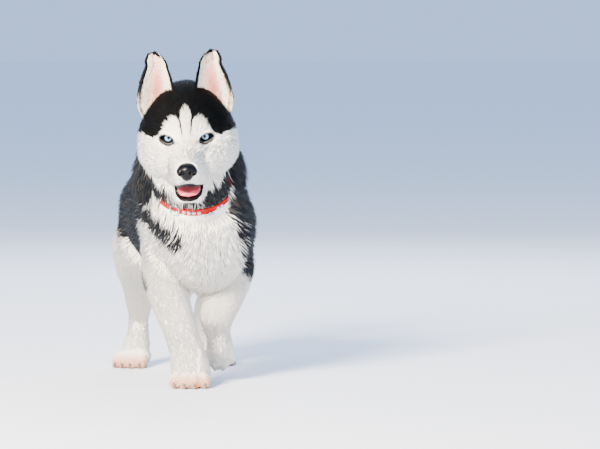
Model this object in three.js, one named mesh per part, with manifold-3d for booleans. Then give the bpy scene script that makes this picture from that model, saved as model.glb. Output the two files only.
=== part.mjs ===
// A Siberian husky puppy of about three months, life size, walking with its mouth open and its head
// turned to its right. Both hind feet and the right forefoot are down and the left forefoot is lifted.
// Millimetres, +Z up. The body lies along Y and faces -Y, and +X is the animal's own left.
import * as THREE from "three";
import { LoftGeometry } from "three/addons/geometries/LoftGeometry.js";
import { mergeVertices } from "three/addons/utils/BufferGeometryUtils.js";
import Module from "manifold-3d";

const wasm = await Module();
wasm.setup();

// Driving dimensions
const GAP = 0.3; // space kept between pieces that touch
const SOLE_HEIGHT = 2.6; // where the pads are cut flat
const COAT_SHOWN = true; // false leaves the long coat as one plain form out to its tips
const EYE_HEIGHT = 386;
const EYE_SPREAD = 29.6; // from the midline to an eye's centre
const EYE_RADIUS = 10.5;
const LID_THICKNESS = 2.2;
const LID_HALF_WIDTH = 10.6;
const LID_HALF_HEIGHT = 7.8;
const SHOULDER_HALF_WIDTH = 90;
const HIP_HALF_WIDTH = 86;
const BACK_HEIGHT = 342;
const BRISKET_HEIGHT = 147; // the chest's underside, at the tips of its coat
const BODY_COAT = 15; // how far the locks stand out of the core
const NECK_COAT = 15;
const THROAT_COAT = 5;
const TAIL_COAT = 15;
const BREECH_COAT = 10;
const CHEEK_COAT = 9;
const COLLAR_WIDTH = 13;
const COLLAR_THICKNESS = 3;

const LEFT = new THREE.Vector3(1, 0, 0);
const HERE = new THREE.Matrix4();
const TURN = Math.PI * 2;
const radians = THREE.MathUtils.degToRad;

const COLOURS = {
  black: { color: 0x1d1d20, roughness: 0.85, metalness: 0 },
  grey: { color: 0x4a4c50, roughness: 0.9, metalness: 0 },
  cream: { color: 0xefebe4, roughness: 0.9, metalness: 0 },
  skin: { color: 0x141416, roughness: 0.45, metalness: 0 },
  pink: { color: 0xe08a8c, roughness: 0.4, metalness: 0 },
  ivory: { color: 0xf3eedd, roughness: 0.35, metalness: 0 },
  iris: { color: 0x7db4e8, roughness: 0.08, metalness: 0 },
  webbing: { color: 0xc8141c, roughness: 0.75, metalness: 0 },
  steel: { color: 0xc9ccd0, roughness: 0.28, metalness: 1 },
};

/** A repeatable source of numbers from 0 to 1. */
function seeded(seed) {
  let state = seed;
  return () => {
    state = (Math.imul(state, 1664525) + 1013904223) >>> 0;
    return state / 4294967296;
  };
}
const chance = seeded(2399);
const vary = (amount) => 1 + amount * (2 * chance() - 1);

/** A closed three.js geometry as a solid, placed by a matrix. */
function solidOf(geometry, pose = HERE) {
  const bare = new THREE.BufferGeometry().copy(geometry).applyMatrix4(pose);
  bare.deleteAttribute("normal");
  bare.deleteAttribute("uv");
  const merged = mergeVertices(bare, 1e-4);
  const triVerts = new Uint32Array(merged.index.array);
  const vertProperties = new Float32Array(merged.attributes.position.array);
  const made = new wasm.Manifold(new wasm.Mesh({ numProp: 3, vertProperties, triVerts }));
  if (made.volume() > 0) return made;
  for (let i = 0; i < triVerts.length; i += 3) {
    [triVerts[i + 1], triVerts[i + 2]] = [triVerts[i + 2], triVerts[i + 1]];
  }
  return new wasm.Manifold(new wasm.Mesh({ numProp: 3, vertProperties, triVerts }));
}

/** A closed solid through rings of points, which are wound here so that it faces outwards. */
function loft(rings) {
  const middle = (ring) =>
    ring.reduce((sum, p) => sum.add(p), new THREE.Vector3()).divideScalar(ring.length);
  const [first, second] = rings;
  const centre = middle(first);
  const winding = new THREE.Vector3();
  first.forEach((p, i) => {
    const next = first[(i + 1) % first.length];
    winding.add(p.clone().sub(centre).cross(next.clone().sub(centre)));
  });
  const outward = winding.dot(middle(second).sub(centre)) > 0;
  const wound = outward ? rings : rings.map((ring) => [...ring].reverse());
  return solidOf(new LoftGeometry(wound, { capStart: true, capEnd: true }));
}

const fuse = (solids) => wasm.Manifold.union(solids);

/** The largest closed surface of a solid. */
function largest(solid) {
  const bodies = solid.decompose();
  return bodies.reduce((best, body) => (body.volume() > best.volume() ? body : best));
}

/** A form of oval sections along a smooth path, with round ends. */
class Form {
  /** Each station is [x, y, z, half width, half height]. */
  constructor(stations, { pose = HERE, side = LEFT, blunt = 0.75 } = {}) {
    const centres = stations.map(([x, y, z]) => new THREE.Vector3(x, y, z).applyMatrix4(pose));
    const sizes = stations.map(([, , , wide, tall]) => new THREE.Vector3(wide, tall, 0));
    this.path = new THREE.CatmullRomCurve3(centres, false, "catmullrom", 0.5);
    this.sizes = new THREE.CatmullRomCurve3(sizes, false, "catmullrom", 0.5);
    this.side = side.clone().transformDirection(pose);
    this.length = this.path.getLength();
    this.blunt = blunt;
  }

  /** How far the round end at t = 0 or 1 reaches past the path. */
  reach(end) {
    const size = this.sizes.getPoint(end);
    return this.blunt * Math.min(size.x, size.y);
  }

  /** The section at t, raised by lift. It runs past 0 and 1 into the round ends. */
  section(t, lift = 0) {
    const end = Math.min(1, Math.max(0, t));
    const past = (Math.abs(t - end) * this.length) / this.reach(end);
    const swing = (Math.min(0.97, past) * Math.PI) / 2;
    const along = this.path.getTangent(end);
    const shift = Math.sign(t - end) * Math.max(1, this.reach(end) + lift) * Math.sin(swing);
    const centre = this.path.getPoint(end).addScaledVector(along, shift);
    const side = this.side.clone().addScaledVector(along, -this.side.dot(along)).normalize();
    const up = side.clone().cross(along);
    const [wide, tall] = this.sizes
      .getPoint(end)
      .toArray()
      .map((size) => Math.max(size * 0.4, size + lift) * Math.cos(swing));
    return { centre, along, side, up, wide, tall };
  }

  /** The point on the surface at t and angle, raised by lift. Angle 0 is the side, a quarter turn up. */
  point(t, angle, lift = 0) {
    const { centre, side, up, wide, tall } = this.section(t, lift);
    return centre
      .addScaledVector(side, wide * Math.cos(angle))
      .addScaledVector(up, tall * Math.sin(angle));
  }

  /** The form as a closed solid, its surface moved out by grow. */
  solid(sides, rings, grow = 0, endRings = 3) {
    const caps = Array.from({ length: endRings }, (_, i) => (0.93 * (endRings - i)) / endRings);
    const stops = [
      ...caps.map((q) => (-q * this.reach(0)) / this.length),
      ...Array.from({ length: rings + 1 }, (_, i) => i / rings),
      ...caps.reverse().map((q) => 1 + (q * this.reach(1)) / this.length),
    ];
    const sections = stops.map((t) =>
      Array.from({ length: sides }, (_, i) => this.point(t, (i * TURN) / sides, grow)),
    );
    return loft(sections);
  }

  /** True if a point lies inside the form, shrunk by margin. */
  holds(point, margin = 0) {
    for (let i = 0; i <= 40; i++) {
      const { centre, along, side, up, wide, tall } = this.section(i / 40);
      const away = point.clone().sub(centre);
      if (Math.abs(away.dot(along)) > this.length / 70) continue;
      const across = away.dot(side) / (wide - margin);
      const above = away.dot(up) / (tall - margin);
      if (across * across + above * above < 1) return true;
    }
    return false;
  }
}

/** An ellipsoid at a point. */
function ball(x, y, z, rx, ry, rz, pose = HERE, grow = 0, sides = 16, rings = 10) {
  const scale = new THREE.Vector3(rx + grow, ry + grow, rz + grow);
  const local = new THREE.Matrix4().compose(new THREE.Vector3(x, y, z), new THREE.Quaternion(), scale);
  return solidOf(new THREE.SphereGeometry(1, sides, rings), pose.clone().multiply(local));
}

/** A matrix that turns by degrees about X, then Y, then Z, and moves to a point. */
function placed(x, y, z, rx = 0, ry = 0, rz = 0) {
  const turn = new THREE.Euler(radians(rx), radians(ry), radians(rz), "ZYX");
  return new THREE.Matrix4().makeRotationFromEuler(turn).setPosition(x, y, z);
}

// Where each part stands
const HEAD_POSE = placed(-43.5, -215, EYE_HEIGHT, 15, -2.5, -13); // its origin is midway between the eyes

// The flesh, as forms out to the tips of the coat
const BODY_MIDDLE = (BACK_HEIGHT + BRISKET_HEIGHT) / 2;
const BODY_HALF_HEIGHT = (BACK_HEIGHT - BRISKET_HEIGHT) / 2;

const torso = new Form([
  [-2, -160, BODY_MIDDLE - 16, 56, 56],
  [0, -124, BODY_MIDDLE - 4, 84, 86],
  [0, -70, BODY_MIDDLE, SHOULDER_HALF_WIDTH, BODY_HALF_HEIGHT],
  [-2, -8, BODY_MIDDLE + 3, SHOULDER_HALF_WIDTH + 2, BODY_HALF_HEIGHT - 2],
  [-5, 50, BODY_MIDDLE + 9, 89, 88],
  [-8, 100, BODY_MIDDLE + 16, HIP_HALF_WIDTH, 80],
  [-8, 142, BODY_MIDDLE + 16, HIP_HALF_WIDTH - 8, 73],
  [-6, 176, BODY_MIDDLE + 14, 58, 54],
]);

const neck = new Form([
  [-38, -166, 400, 58, 52],
  [-34, -164, 356, 62, 58],
  [-26, -152, 312, 60, 57],
  [-15, -140, 276, 72, 64],
  [-2, -122, 240, 84, 76],
]);

const chest = new Form(
  [
    [-8, -158, 262, 64, 46],
    [-2, -160, 226, 68, 46],
    [0, -142, 190, 58, 44],
    [0, -114, 168, 40, 34],
  ],
  { blunt: 0.5 },
);

const mane = new Form([
  [-32, -120, 418, 50, 42],
  [-25, -106, 378, 72, 54],
  [-16, -86, 330, 90, 66],
  [-4, -58, 280, 84, 74],
]);

const tail = new Form([
  [-6, 172, 298, 22, 24],
  [0, 210, 308, 28, 30],
  [10, 236, 338, 34, 36],
  [18, 236, 378, 36, 39],
  [24, 212, 406, 31, 34],
  [27, 184, 418, 20, 23],
  [28, 166, 420, 8, 10],
]);

// The head, in its own frame: y runs back from the eyes and z up
const skull = new Form(
  [
    [0, 98, 14, 40, 42],
    [0, 80, 12, 54, 58],
    [0, 56, 10, 64, 59],
    [0, 30, 2, 67, 52],
    [0, 9, -12, 60, 39],
    [0, -5, -22, 45, 27],
    [0, -20, -32, 34, 24],
    [0, -46, -39, 26, 20],
    [0, -60, -41, 22, 17],
  ],
  { pose: HEAD_POSE, blunt: 0.6 },
);

const jaw = new Form(
  [
    [0, 40, -54, 46, 22],
    [0, 10, -68, 36, 17],
    [0, -18, -77, 27, 12],
    [0, -38, -82, 23, 9],
    [0, -50, -83.5, 20, 7.5],
  ],
  { pose: HEAD_POSE, blunt: 0.7 },
);

const flew = (sign) =>
  new Form(
    [
      [sign * 26, 8, -54, 11, 19],
      [sign * 23, -16, -54, 12, 18],
      [sign * 17, -42, -50, 12.5, 14.5],
      [sign * 11, -58, -48, 11, 11],
    ],
    { pose: HEAD_POSE },
  );

const cheek = (sign) =>
  new Form(
    [
      [sign * 26, -16, -36, 18, 22],
      [sign * 42, 10, -26, 27, 37],
      [sign * 46, 36, -14, 31, 49],
      [sign * 38, 60, -8, 33, 50],
    ],
    { pose: HEAD_POSE },
  );

/** A foreleg from the shoulder to the carpus, and on to the foot. */
const foreleg = {
  right: [
    new Form([
      [-50, -84, 214, 36, 46],
      [-57, -96, 172, 35, 39],
      [-53, -124, 130, 31, 32],
      [-43, -150, 92, 29, 29],
      [-38, -162, 68, 28, 28],
    ]),
    new Form([
      [-39, -158, 76, 27, 27],
      [-34, -172, 48, 29, 27],
      [-31, -182, 24, 31, 28],
    ]),
  ],
  left: [
    new Form([
      [50, -76, 214, 34, 46],
      [53, -86, 176, 34, 38],
      [38, -112, 138, 31, 31],
      [21, -130, 108, 29, 28],
      [17, -137, 97, 27, 26],
    ]),
    new Form([
      [17, -135, 102, 26, 26],
      [23, -126, 80, 22, 22],
      [29, -113, 58, 21, 20],
    ]),
  ],
};

/** A hind leg's thigh, shank and rear pastern. */
const hindleg = (sign, hock) => [
  new Form([
    [sign * 46, 122, 258, 38, 60],
    [sign * 64, 110, 214, 37, 56],
    [sign * 66, 98, 172, 34, 45],
    [sign * 62, 92, 144, 27, 33],
  ]),
  new Form([
    [sign * 62, 96, 152, 29, 35],
    [sign * (hock + 4), 130, 116, 25, 29],
    [sign * (hock - 2), 162, 90, 20, 22],
  ]),
  new Form([
    [sign * (hock - 2), 166, 94, 19, 20],
    [sign * (hock - 1), 165, 60, 20, 20],
    [sign * (hock + 4), 158, 26, 23, 23],
  ]),
];
const HOCK_RIGHT = 52;
const HOCK_LEFT = 60;

/** The pose of each paw, and how far its toes spread. */
const PAWS = {
  forepaw_right: [placed(-32, -184, 0, 0, 0, -14), 1.06],
  forepaw_left: [placed(28, -112, 62, 118, 0, -8), 0.78],
  hindpaw_right: [placed(-60, 150, 0, 0, 0, -30), 0.96],
  hindpaw_left: [placed(67, 150, 0, 0, 0, 20), 0.96],
};

/** A paw's palm, four toes and claws. Its toes point to -Y and its sole is at z = 0. */
function paw([pose, spread]) {
  const palm = new Form([
    [0, 16, 21, 24 * spread, 20],
    [0, -2, 18, 28 * spread, 18],
    [0, -16, 14, 25 * spread, 14],
  ], { pose });
  const pieces = [palm.solid(7, 2, 0, 1)];
  [-1.5, -0.5, 0.5, 1.5].forEach((place) => {
    const middle = Math.abs(place) < 1;
    const x = place * 14 * spread;
    const tip = middle ? -36 : -30;
    const toe = new Form([
      [x * 0.8, tip + 26, 15, 9, 12],
      [x, tip + 12, 14, 9.5, 13],
      [x * 1.04, tip, 8.5, 8.4, 9.5],
    ], { pose });
    const claw = new Form([
      [x * 1.04, tip - 2, 10, 2.6, 2.8],
      [x * 1.06, tip - 8, 8, 2, 2.2],
      [x * 1.08, tip - 12, 4.6, 0.8, 0.8],
    ], { pose, blunt: 0.4 });
    pieces.push(toe.solid(6, 2, 0, 0), claw.solid(3, 1, 0, 0));
  });
  return fuse(pieces);
}

// Features of the head
const eyeCentre = (sign) => new THREE.Vector3(sign * EYE_SPREAD, 7, 0);
const eye = (sign, grow = 0) => {
  const { x, y, z } = eyeCentre(sign);
  return ball(x, y, z, EYE_RADIUS, EYE_RADIUS, EYE_RADIUS, HEAD_POSE, grow, 12, 8);
};

/** The almond opening between the lids, whose outer corner is the higher. */
function lidOpening(sign) {
  const steps = 16;
  const almond = Array.from({ length: steps }, (_, i) => {
    const a = (i * TURN) / steps;
    const out = LID_HALF_WIDTH * Math.cos(a);
    const up = LID_HALF_HEIGHT * Math.sin(a) * (1 - 0.2 * Math.cos(a)) + 0.16 * out;
    return new THREE.Vector2(sign * out, up);
  });
  const { x, y, z } = eyeCentre(sign);
  const prism = new THREE.ExtrudeGeometry(new THREE.Shape(almond), { depth: 40, bevelEnabled: false });
  return solidOf(prism, HEAD_POSE.clone().multiply(placed(x, y - 2, z, 90)));
}

const NOSE = [0, -67, -31];

/** The nose leather, with comma-shaped nostrils. */
function nose(grow = 0) {
  const pad = fuse([
    ball(0, NOSE[1], NOSE[2], 15, 13, 11, HEAD_POSE, grow, 12, 7),
    ball(0, NOSE[1] - 1, NOSE[2] - 9, 7, 10.5, 9, HEAD_POSE, grow, 8, 5),
  ]);
  if (grow > 0) return pad;
  const nostrils = [-1, 1].flatMap((sign) => [
    ball(sign * 6.5, NOSE[1] - 12, NOSE[2] - 1.5, 3.4, 5, 3, HEAD_POSE, 0, 6, 4),
    ball(sign * 11.5, NOSE[1] - 8, NOSE[2] - 4, 4.4, 3.2, 1.5, HEAD_POSE, 0, 6, 3),
  ]);
  return pad.subtract(fuse(nostrils));
}

/** An upright ear: a cup open to the front, from below the skull's surface to a round-tipped point. */
function ear(sign, grow = 0) {
  // each level is [z, y of the edges, nearest x, farthest x, depth of the cup]
  const levels = [
    [2, 52, 40, 56, 8],
    [20, 50, 33, 69, 14],
    [40, 48, 23, 74, 18],
    [61, 47, 17.5, 71.5, 17],
    [80, 47, 20, 66, 14],
    [98, 49, 26.5, 58, 9],
    [111, 52, 35, 52.5, 5],
    [118, 54, 42, 48.5, 2],
  ];
  const steps = 8;
  const shift = sign > 0 ? -2 : 0;
  const sections = levels.map(([z, edge, near, far, depth], level) => {
    const middle = (near + far) / 2 + shift;
    const half = (far - near) / 2 + grow;
    const wall = 2.6 - 0.18 * level + 2 * grow; // the steep sides need more room across
    const raised = z + (level === 0 ? -grow : level === levels.length - 1 ? grow : 0);
    const arc = (side) =>
      Array.from({ length: steps }, (_, i) => {
        const u = -1 + (2 * i) / (steps - 1);
        const y = edge + 6 * u + depth * (1 - Math.abs(u) ** 2.4) + side * wall;
        return new THREE.Vector3(sign * (middle + half * u), y, raised).applyMatrix4(HEAD_POSE);
      });
    return [...arc(1), ...arc(-1).reverse()];
  });
  return loft(sections);
}

/** The socket of an ear: the ear and the gap round it on every side. */
function earSocket(sign) {
  const still = ear(sign);
  const ways = [[GAP, 0, 0], [-GAP, 0, 0], [0, GAP, 0], [0, -GAP, 0]];
  return fuse([ear(sign, GAP), still, ...ways.map((way) => still.translate(way))]);
}

/** The space inside the open mouth. */
function mouthSpace() {
  const space = new Form([
    [0, 16, -56, 18, 5],
    [0, -10, -63, 22, 9],
    [0, -34, -68, 21, 12],
    [0, -58, -71, 19, 13],
    [0, -90, -74, 19, 14],
  ], { pose: HEAD_POSE });
  return space.solid(12, 4, 0, 1);
}

/** The tongue, lying in the lower jaw. */
function tongue(grow = 0) {
  const form = new Form([
    [0, 14, -58, 15, 4],
    [0, -10, -68, 17.5, 4.6],
    [0, -32, -74.5, 17, 4.4],
    [0, -45, -77, 13, 3.6],
  ], { pose: HEAD_POSE });
  return form.solid(10, 5, grow, 2);
}

// Locks of the long coat
/**
 * A flat, tapered lock rooted at t and angle in a form's core, whose tip reaches the form's
 * outline. It is a low ridge on a flat underside, which leaves the core past its middle.
 */
function lock(form, t, angle, { length, wide, thick, depth, sway = 0, sink = 7, grow = 0 }) {
  const stops = [-0.08, 0.34, 0.7, 1];
  const ends = [-grow, 0, 0, grow]; // how far a section moves along the lock when it grows
  const heights = [-depth - sink, -depth * 0.45, -depth * 0.08, 0];
  const widths = [0.55, 1, 0.8, 0.03];
  const roots = [0.3, depth * 0.55 + 3, depth * 0.5, 0.4]; // how far the underside lies below the ridge
  const spot = (i, turn = 0) =>
    form.point(t + (stops[i] * length) / form.length, angle + sway * stops[i] + turn, heights[i]);
  const spine = stops.map((_, i) => spot(i));
  const sections = spine.map((centre, i) => {
    const along = spine[Math.min(3, i + 1)].clone().sub(spine[Math.max(0, i - 1)]).normalize();
    const across = spot(i, 0.05).sub(spot(i, -0.05));
    const side = across.addScaledVector(along, -across.dot(along)).normalize();
    const up = along.clone().cross(side);
    const half = (wide * widths[i]) / 2;
    const ridge = (thick * widths[i]) / 2;
    const slope = Math.atan2(ridge + roots[i], half);
    const edge = half + grow / Math.tan(slope / 2); // the corners of the section's true offset
    const under = -roots[i] - grow;
    return [[edge, under], [0, ridge + grow / Math.cos(slope)], [-edge, under]].map(([a, b]) =>
      centre.clone().addScaledVector(side, a).addScaledVector(up, b).addScaledVector(along, ends[i]),
    );
  });
  return loft(sections);
}

/** Rows of overlapping locks over a form, each with its room, left out where skip says so. */
function coat(form, { rows, round, from, to, arc = [0, TURN], skip = () => false, ...size }) {
  const made = [];
  for (let row = 0; row < rows; row++) {
    const t = from + ((to - from) * row) / Math.max(1, rows - 1);
    for (let i = 0; i < round; i++) {
      const share = (i + (row % 2) / 2 + 0.2 * (chance() - 0.5)) / round;
      const angle = arc[0] + (arc[1] - arc[0]) * share;
      const most = (1 - t) * form.length + 0.8 * form.reach(1);
      const length = Math.min(most, size.length * vary(0.13));
      const shape = { ...size, length, wide: size.wide * vary(0.08), sway: 0.14 * (chance() - 0.5) };
      const middle = form.point(t + (0.5 * length) / form.length, angle);
      if (skip(form.point(t, angle), angle, t) || skip(middle, angle, t)) continue;
      const root = form.point(t, angle, -size.depth);
      const solid = lock(form, t, angle, shape);
      made.push({ root, solid, room: lock(form, t, angle, { ...shape, grow: 2 * GAP }) });
    }
  }
  return made;
}

/** A region of space bounded by planes, each [point, normal that points out of it]. */
function region(planes, grow = 0) {
  const all = solidOf(new THREE.BoxGeometry(900, 1200, 1200));
  return planes.reduce((space, [point, normal]) => {
    const out = new THREE.Vector3(...normal).normalize();
    const offset = out.dot(new THREE.Vector3(...point)) + grow;
    return space.trimByPlane([-out.x, -out.y, -out.z], -offset);
  }, all);
}

/** Planes given in the head's own frame, as planes of the body's. */
const inHead = (planes) =>
  planes.map(([point, normal]) => [
    new THREE.Vector3(...point).applyMatrix4(HEAD_POSE).toArray(),
    new THREE.Vector3(...normal).transformDirection(HEAD_POSE).toArray(),
  ]);

// The collar, in its own frame
const COLLAR_POSE = placed(-19, -147, 303, 36, -3, -6);
const COLLAR_RADIUS = 55;
const COLLAR_OUTER = COLLAR_RADIUS + COLLAR_THICKNESS;

const BUCKLE_PLACE = -36; // degrees from the front of the strap towards the left
const RING_PLACE = 18;
const RING_HANG = placed(0, -2.8, -9.5, 78);

/** A ring about the collar's axis, between two radii. */
function band(inner, outer, height) {
  const shape = new THREE.Shape().absellipse(0, 0, outer, outer, 0, TURN);
  shape.holes.push(new THREE.Path().absellipse(0, 0, inner, inner, 0, TURN));
  const geometry = new THREE.ExtrudeGeometry(shape, {
    depth: height,
    bevelEnabled: false,
    curveSegments: 18,
  });
  return solidOf(geometry.translate(0, 0, -height / 2), COLLAR_POSE);
}

/** A matrix on the outside of the strap, a number of degrees from its front towards the left. */
function onStrap(degrees, lift = 0) {
  const angle = radians(degrees - 90);
  const r = COLLAR_OUTER + lift;
  const turned = placed(r * Math.cos(angle), r * Math.sin(angle), 0, 0, 0, degrees);
  return COLLAR_POSE.clone().multiply(turned);
}

/** The buckle's frame, a flat ring of wire, with its tongue. */
function buckle() {
  const outline = new THREE.Shape().moveTo(-8, -9.5).lineTo(8, -9.5).lineTo(8, 9.5).lineTo(-8, 9.5);
  const hole = new THREE.Path().moveTo(-5.2, -7).lineTo(5.2, -7).lineTo(5.2, 7).lineTo(-5.2, 7);
  outline.holes.push(hole);
  const frame = new THREE.ExtrudeGeometry(outline, {
    depth: 1.4,
    bevelThickness: 0.6,
    bevelSize: 0.6,
    bevelSegments: 1,
  });
  const pin = new THREE.CylinderGeometry(1, 0.8, 13, 8).rotateZ(Math.PI / 2).translate(0, 0, 1);
  const stand = onStrap(BUCKLE_PLACE, 0.4 + 0.6 + GAP).multiply(placed(0, 0, 0, 90));
  return fuse([solidOf(frame, stand), solidOf(pin, stand)]);
}

/** The hollows that the buckle and the ring press into the coat. */
function fittingRoom() {
  const over = new THREE.BoxGeometry(19, 40, 22).translate(0, -18, 0);
  const round = new THREE.SphereGeometry(10.5, 12, 8).scale(1, 1.4, 1).translate(0, -4, 0);
  const hang = onStrap(RING_PLACE, 2.2).multiply(placed(0, -2.8, -9.5));
  return fuse([solidOf(over, onStrap(BUCKLE_PLACE)), solidOf(round, hang)]);
}

/** A stud with a domed head. */
function stud(degrees) {
  const profile = [[0, 0], [3.2, 0], [3, 0.9], [1.7, 2], [0, 2.3]];
  const points = profile.map(([r, h]) => new THREE.Vector2(r, h));
  const dome = new THREE.LatheGeometry(points, 7);
  return solidOf(dome, onStrap(degrees, GAP).multiply(placed(0, 0, 0, 180)));
}

/** The ring that hangs from the strap for a lead, with its loop. */
function hangingRing(grow = 0) {
  const wire = new THREE.TorusGeometry(7.5, 1.3 + 1.4 * grow, 5, 12);
  const loop = new THREE.TorusGeometry(3.4, 1.2 + 1.4 * grow, 5, 8).rotateY(Math.PI / 2);
  const stand = onStrap(RING_PLACE, 2.2);
  const hang = stand.clone().multiply(RING_HANG);
  return fuse([solidOf(wire, hang), solidOf(loop, stand.multiply(placed(0, -0.6, -0.6)))]);
}

// The whole animal as one solid, then parted
const long = COAT_SHOWN ? 1 : 0;
const shrink = (depth) => -depth * long;

/** The flesh of the head without its lower jaw. */
function headFlesh(grow = 0) {
  return fuse([
    skull.solid(16, 11, grow, 1),
    ...[1, -1].flatMap((sign) => [
      cheek(sign).solid(8, 3, grow + shrink(CHEEK_COAT), 1),
      flew(sign).solid(8, 4, grow, 1),
      ball(...eyeCentre(sign).toArray(), 1, 1, 1, HEAD_POSE, EYE_RADIUS + LID_THICKNESS - 1 + grow, 12, 8),
    ]),
  ]);
}

const flesh = () => {
  const trunk = [
    torso.solid(12, 6, shrink(BODY_COAT), 1),
    neck.solid(12, 4, shrink(THROAT_COAT), 1),
    chest.solid(10, 3, shrink(BODY_COAT), 1),
    mane.solid(10, 3, shrink(NECK_COAT), 1),
    tail.solid(7, 7, shrink(TAIL_COAT), 0),
    headFlesh(),
  ];
  const hind = [...hindleg(-1, HOCK_RIGHT), ...hindleg(1, HOCK_LEFT)];
  const legs = [...foreleg.right, ...foreleg.left, ...hind].map((form) => form.solid(9, 3, 0, 1));
  return fuse([...trunk, ...legs, ...Object.values(PAWS).map(paw)]);
};

// Where the trunk is parted, as planes whose normals point out of the piece
const HEAD_REGION = inHead([[[0, 15, -72], [0, 0.785, -0.617]]]);
const NECK_REGION = [[[0, -125, 290], [0, 0.59, -0.81]]];
const TAIL_REGION = [[[0, 206, 308], [0, -0.93, -0.35]]];

/** The piece of the trunk that a point belongs to. */
function ownerOf(point) {
  const within = (planes) =>
    planes.every(([p, out]) => point.clone().sub(new THREE.Vector3(...p)).dot(new THREE.Vector3(...out)) < 0);
  if (within(HEAD_REGION)) return "head";
  if (within(NECK_REGION)) return "neck";
  return within(TAIL_REGION) ? "tail" : "torso";
}

/** The locks of the head, the neck, the torso and the tail. */
function allLocks() {
  const owned = { head: [], neck: [], torso: [], tail: [] };
  if (!COAT_SHOWN) return owned;
  const thighs = [hindleg(-1, HOCK_RIGHT)[0], hindleg(1, HOCK_LEFT)[0]];
  const limbs = [...thighs, foreleg.right[0], foreleg.left[0]];
  const faces = [skull, cheek(1), cheek(-1)];
  const within = (forms, margin) => (point) => forms.some((form) => form.holds(point, margin));
  const body = { length: 128, wide: 56, thick: 8, depth: BODY_COAT };
  const ruff = [1, -1].flatMap((sign) =>
    coat(cheek(sign), {
      rows: 2, round: 3, from: 0.36, to: 0.8, arc: sign > 0 ? [-1.9, 1.1] : [2.05, 5.05],
      length: 50, wide: 30, thick: 5, depth: CHEEK_COAT, sink: 4,
    }),
  );
  const back = coat(torso, {
    ...body, rows: 3, round: 7, from: 0.14, to: 0.74, skip: within([mane, neck, chest, ...limbs], 6),
  });
  const bib = coat(chest, {
    ...body, rows: 2, round: 4, from: 0.1, to: 0.66, arc: [-3.4, 0.3], length: 84, wide: 42,
    skip: within([neck], 2),
  });
  const breeches = thighs.flatMap((form) =>
    coat(form, {
      ...body, rows: 2, round: 2, from: 0.25, to: 0.62, arc: [0.6, 2.4], length: 60, wide: 34,
      depth: BREECH_COAT,
    }),
  );
  const throat = coat(neck, {
    ...body, rows: 1, round: 7, from: 0.66, to: 0.66, length: 56, wide: 32, depth: THROAT_COAT,
    skip: within([mane, ...faces], 2),
  });
  const nape = coat(mane, {
    ...body, rows: 2, round: 6, from: 0.12, to: 0.66, length: 100, wide: 50, depth: NECK_COAT,
    skip: within([neck, torso, ...faces], 5),
  });
  const brush = coat(tail, {
    ...body, rows: 3, round: 4, from: 0.1, to: 0.76, length: 96, wide: 36, depth: TAIL_COAT,
  });
  for (const made of [...ruff, ...back, ...bib, ...breeches, ...throat, ...nape, ...brush]) {
    owned[ownerOf(made.root)].push(made);
  }
  return owned;
}

const parts = new Map();
const locks = allLocks();
const solidsOf = (kinds) => kinds.flatMap((kind) => locks[kind].map(({ solid }) => solid));
const roomsOf = (kinds) => kinds.flatMap((kind) => locks[kind].map(({ room }) => room));
let rest = fuse([flesh(), ...solidsOf(Object.keys(locks))]).trimByPlane([0, 0, 1], SOLE_HEIGHT);

/** Puts a piece in its place, cut out of what is left by the same piece grown a little. */
function inset(name, piece, grown) {
  parts.set(name, piece);
  rest = rest.subtract(grown);
}

/**
 * Parts a piece from what is left by a region, with a thin gap. The locks of the piece come with
 * it where they reach out of the region, and the locks of the others stay behind.
 */
function part(name, planes, own = [], others = []) {
  const piece = fuse([region(planes), ...solidsOf(own)]);
  const kept = others.length > 0 ? piece.subtract(fuse(roomsOf(others))) : piece;
  const room = fuse([region(planes, GAP), ...roomsOf(own)]);
  const made = rest.intersect(kept);
  parts.set(name, made);
  rest = rest.subtract(others.length > 0 ? room.subtract(fuse(solidsOf(others))) : room).subtract(made);
}

rest = rest.subtract(mouthSpace());
inset("nose", nose(), nose(GAP));
for (const [side, sign] of [["left", 1], ["right", -1]]) {
  inset(`eye_${side}`, eye(sign), fuse([eye(sign, GAP), lidOpening(sign)]));
  inset(`ear_${side}`, ear(sign), earSocket(sign));
}

const jawRoom = fuse([headFlesh(GAP), neck.solid(12, 4, GAP, 1)]);
parts.set("tongue", tongue().subtract(jawRoom));
parts.set("lower_jaw", jaw.solid(12, 5, 0, 2).subtract(fuse([jawRoom, tongue(GAP)])));

const strapRoom = band(COLLAR_RADIUS - GAP, COLLAR_OUTER + 14, COLLAR_WIDTH + 2);
const strap = band(COLLAR_RADIUS, COLLAR_OUTER, COLLAR_WIDTH).subtract(hangingRing(GAP));
inset("collar_strap", strap, fuse([strapRoom, fittingRoom()]));
parts.set("collar_buckle", buckle());
parts.set("collar_ring", hangingRing());
[-22, -14, -6, 2, 34, 42].forEach((degrees, i) => parts.set(`collar_stud_${i + 1}`, stud(degrees)));

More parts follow.
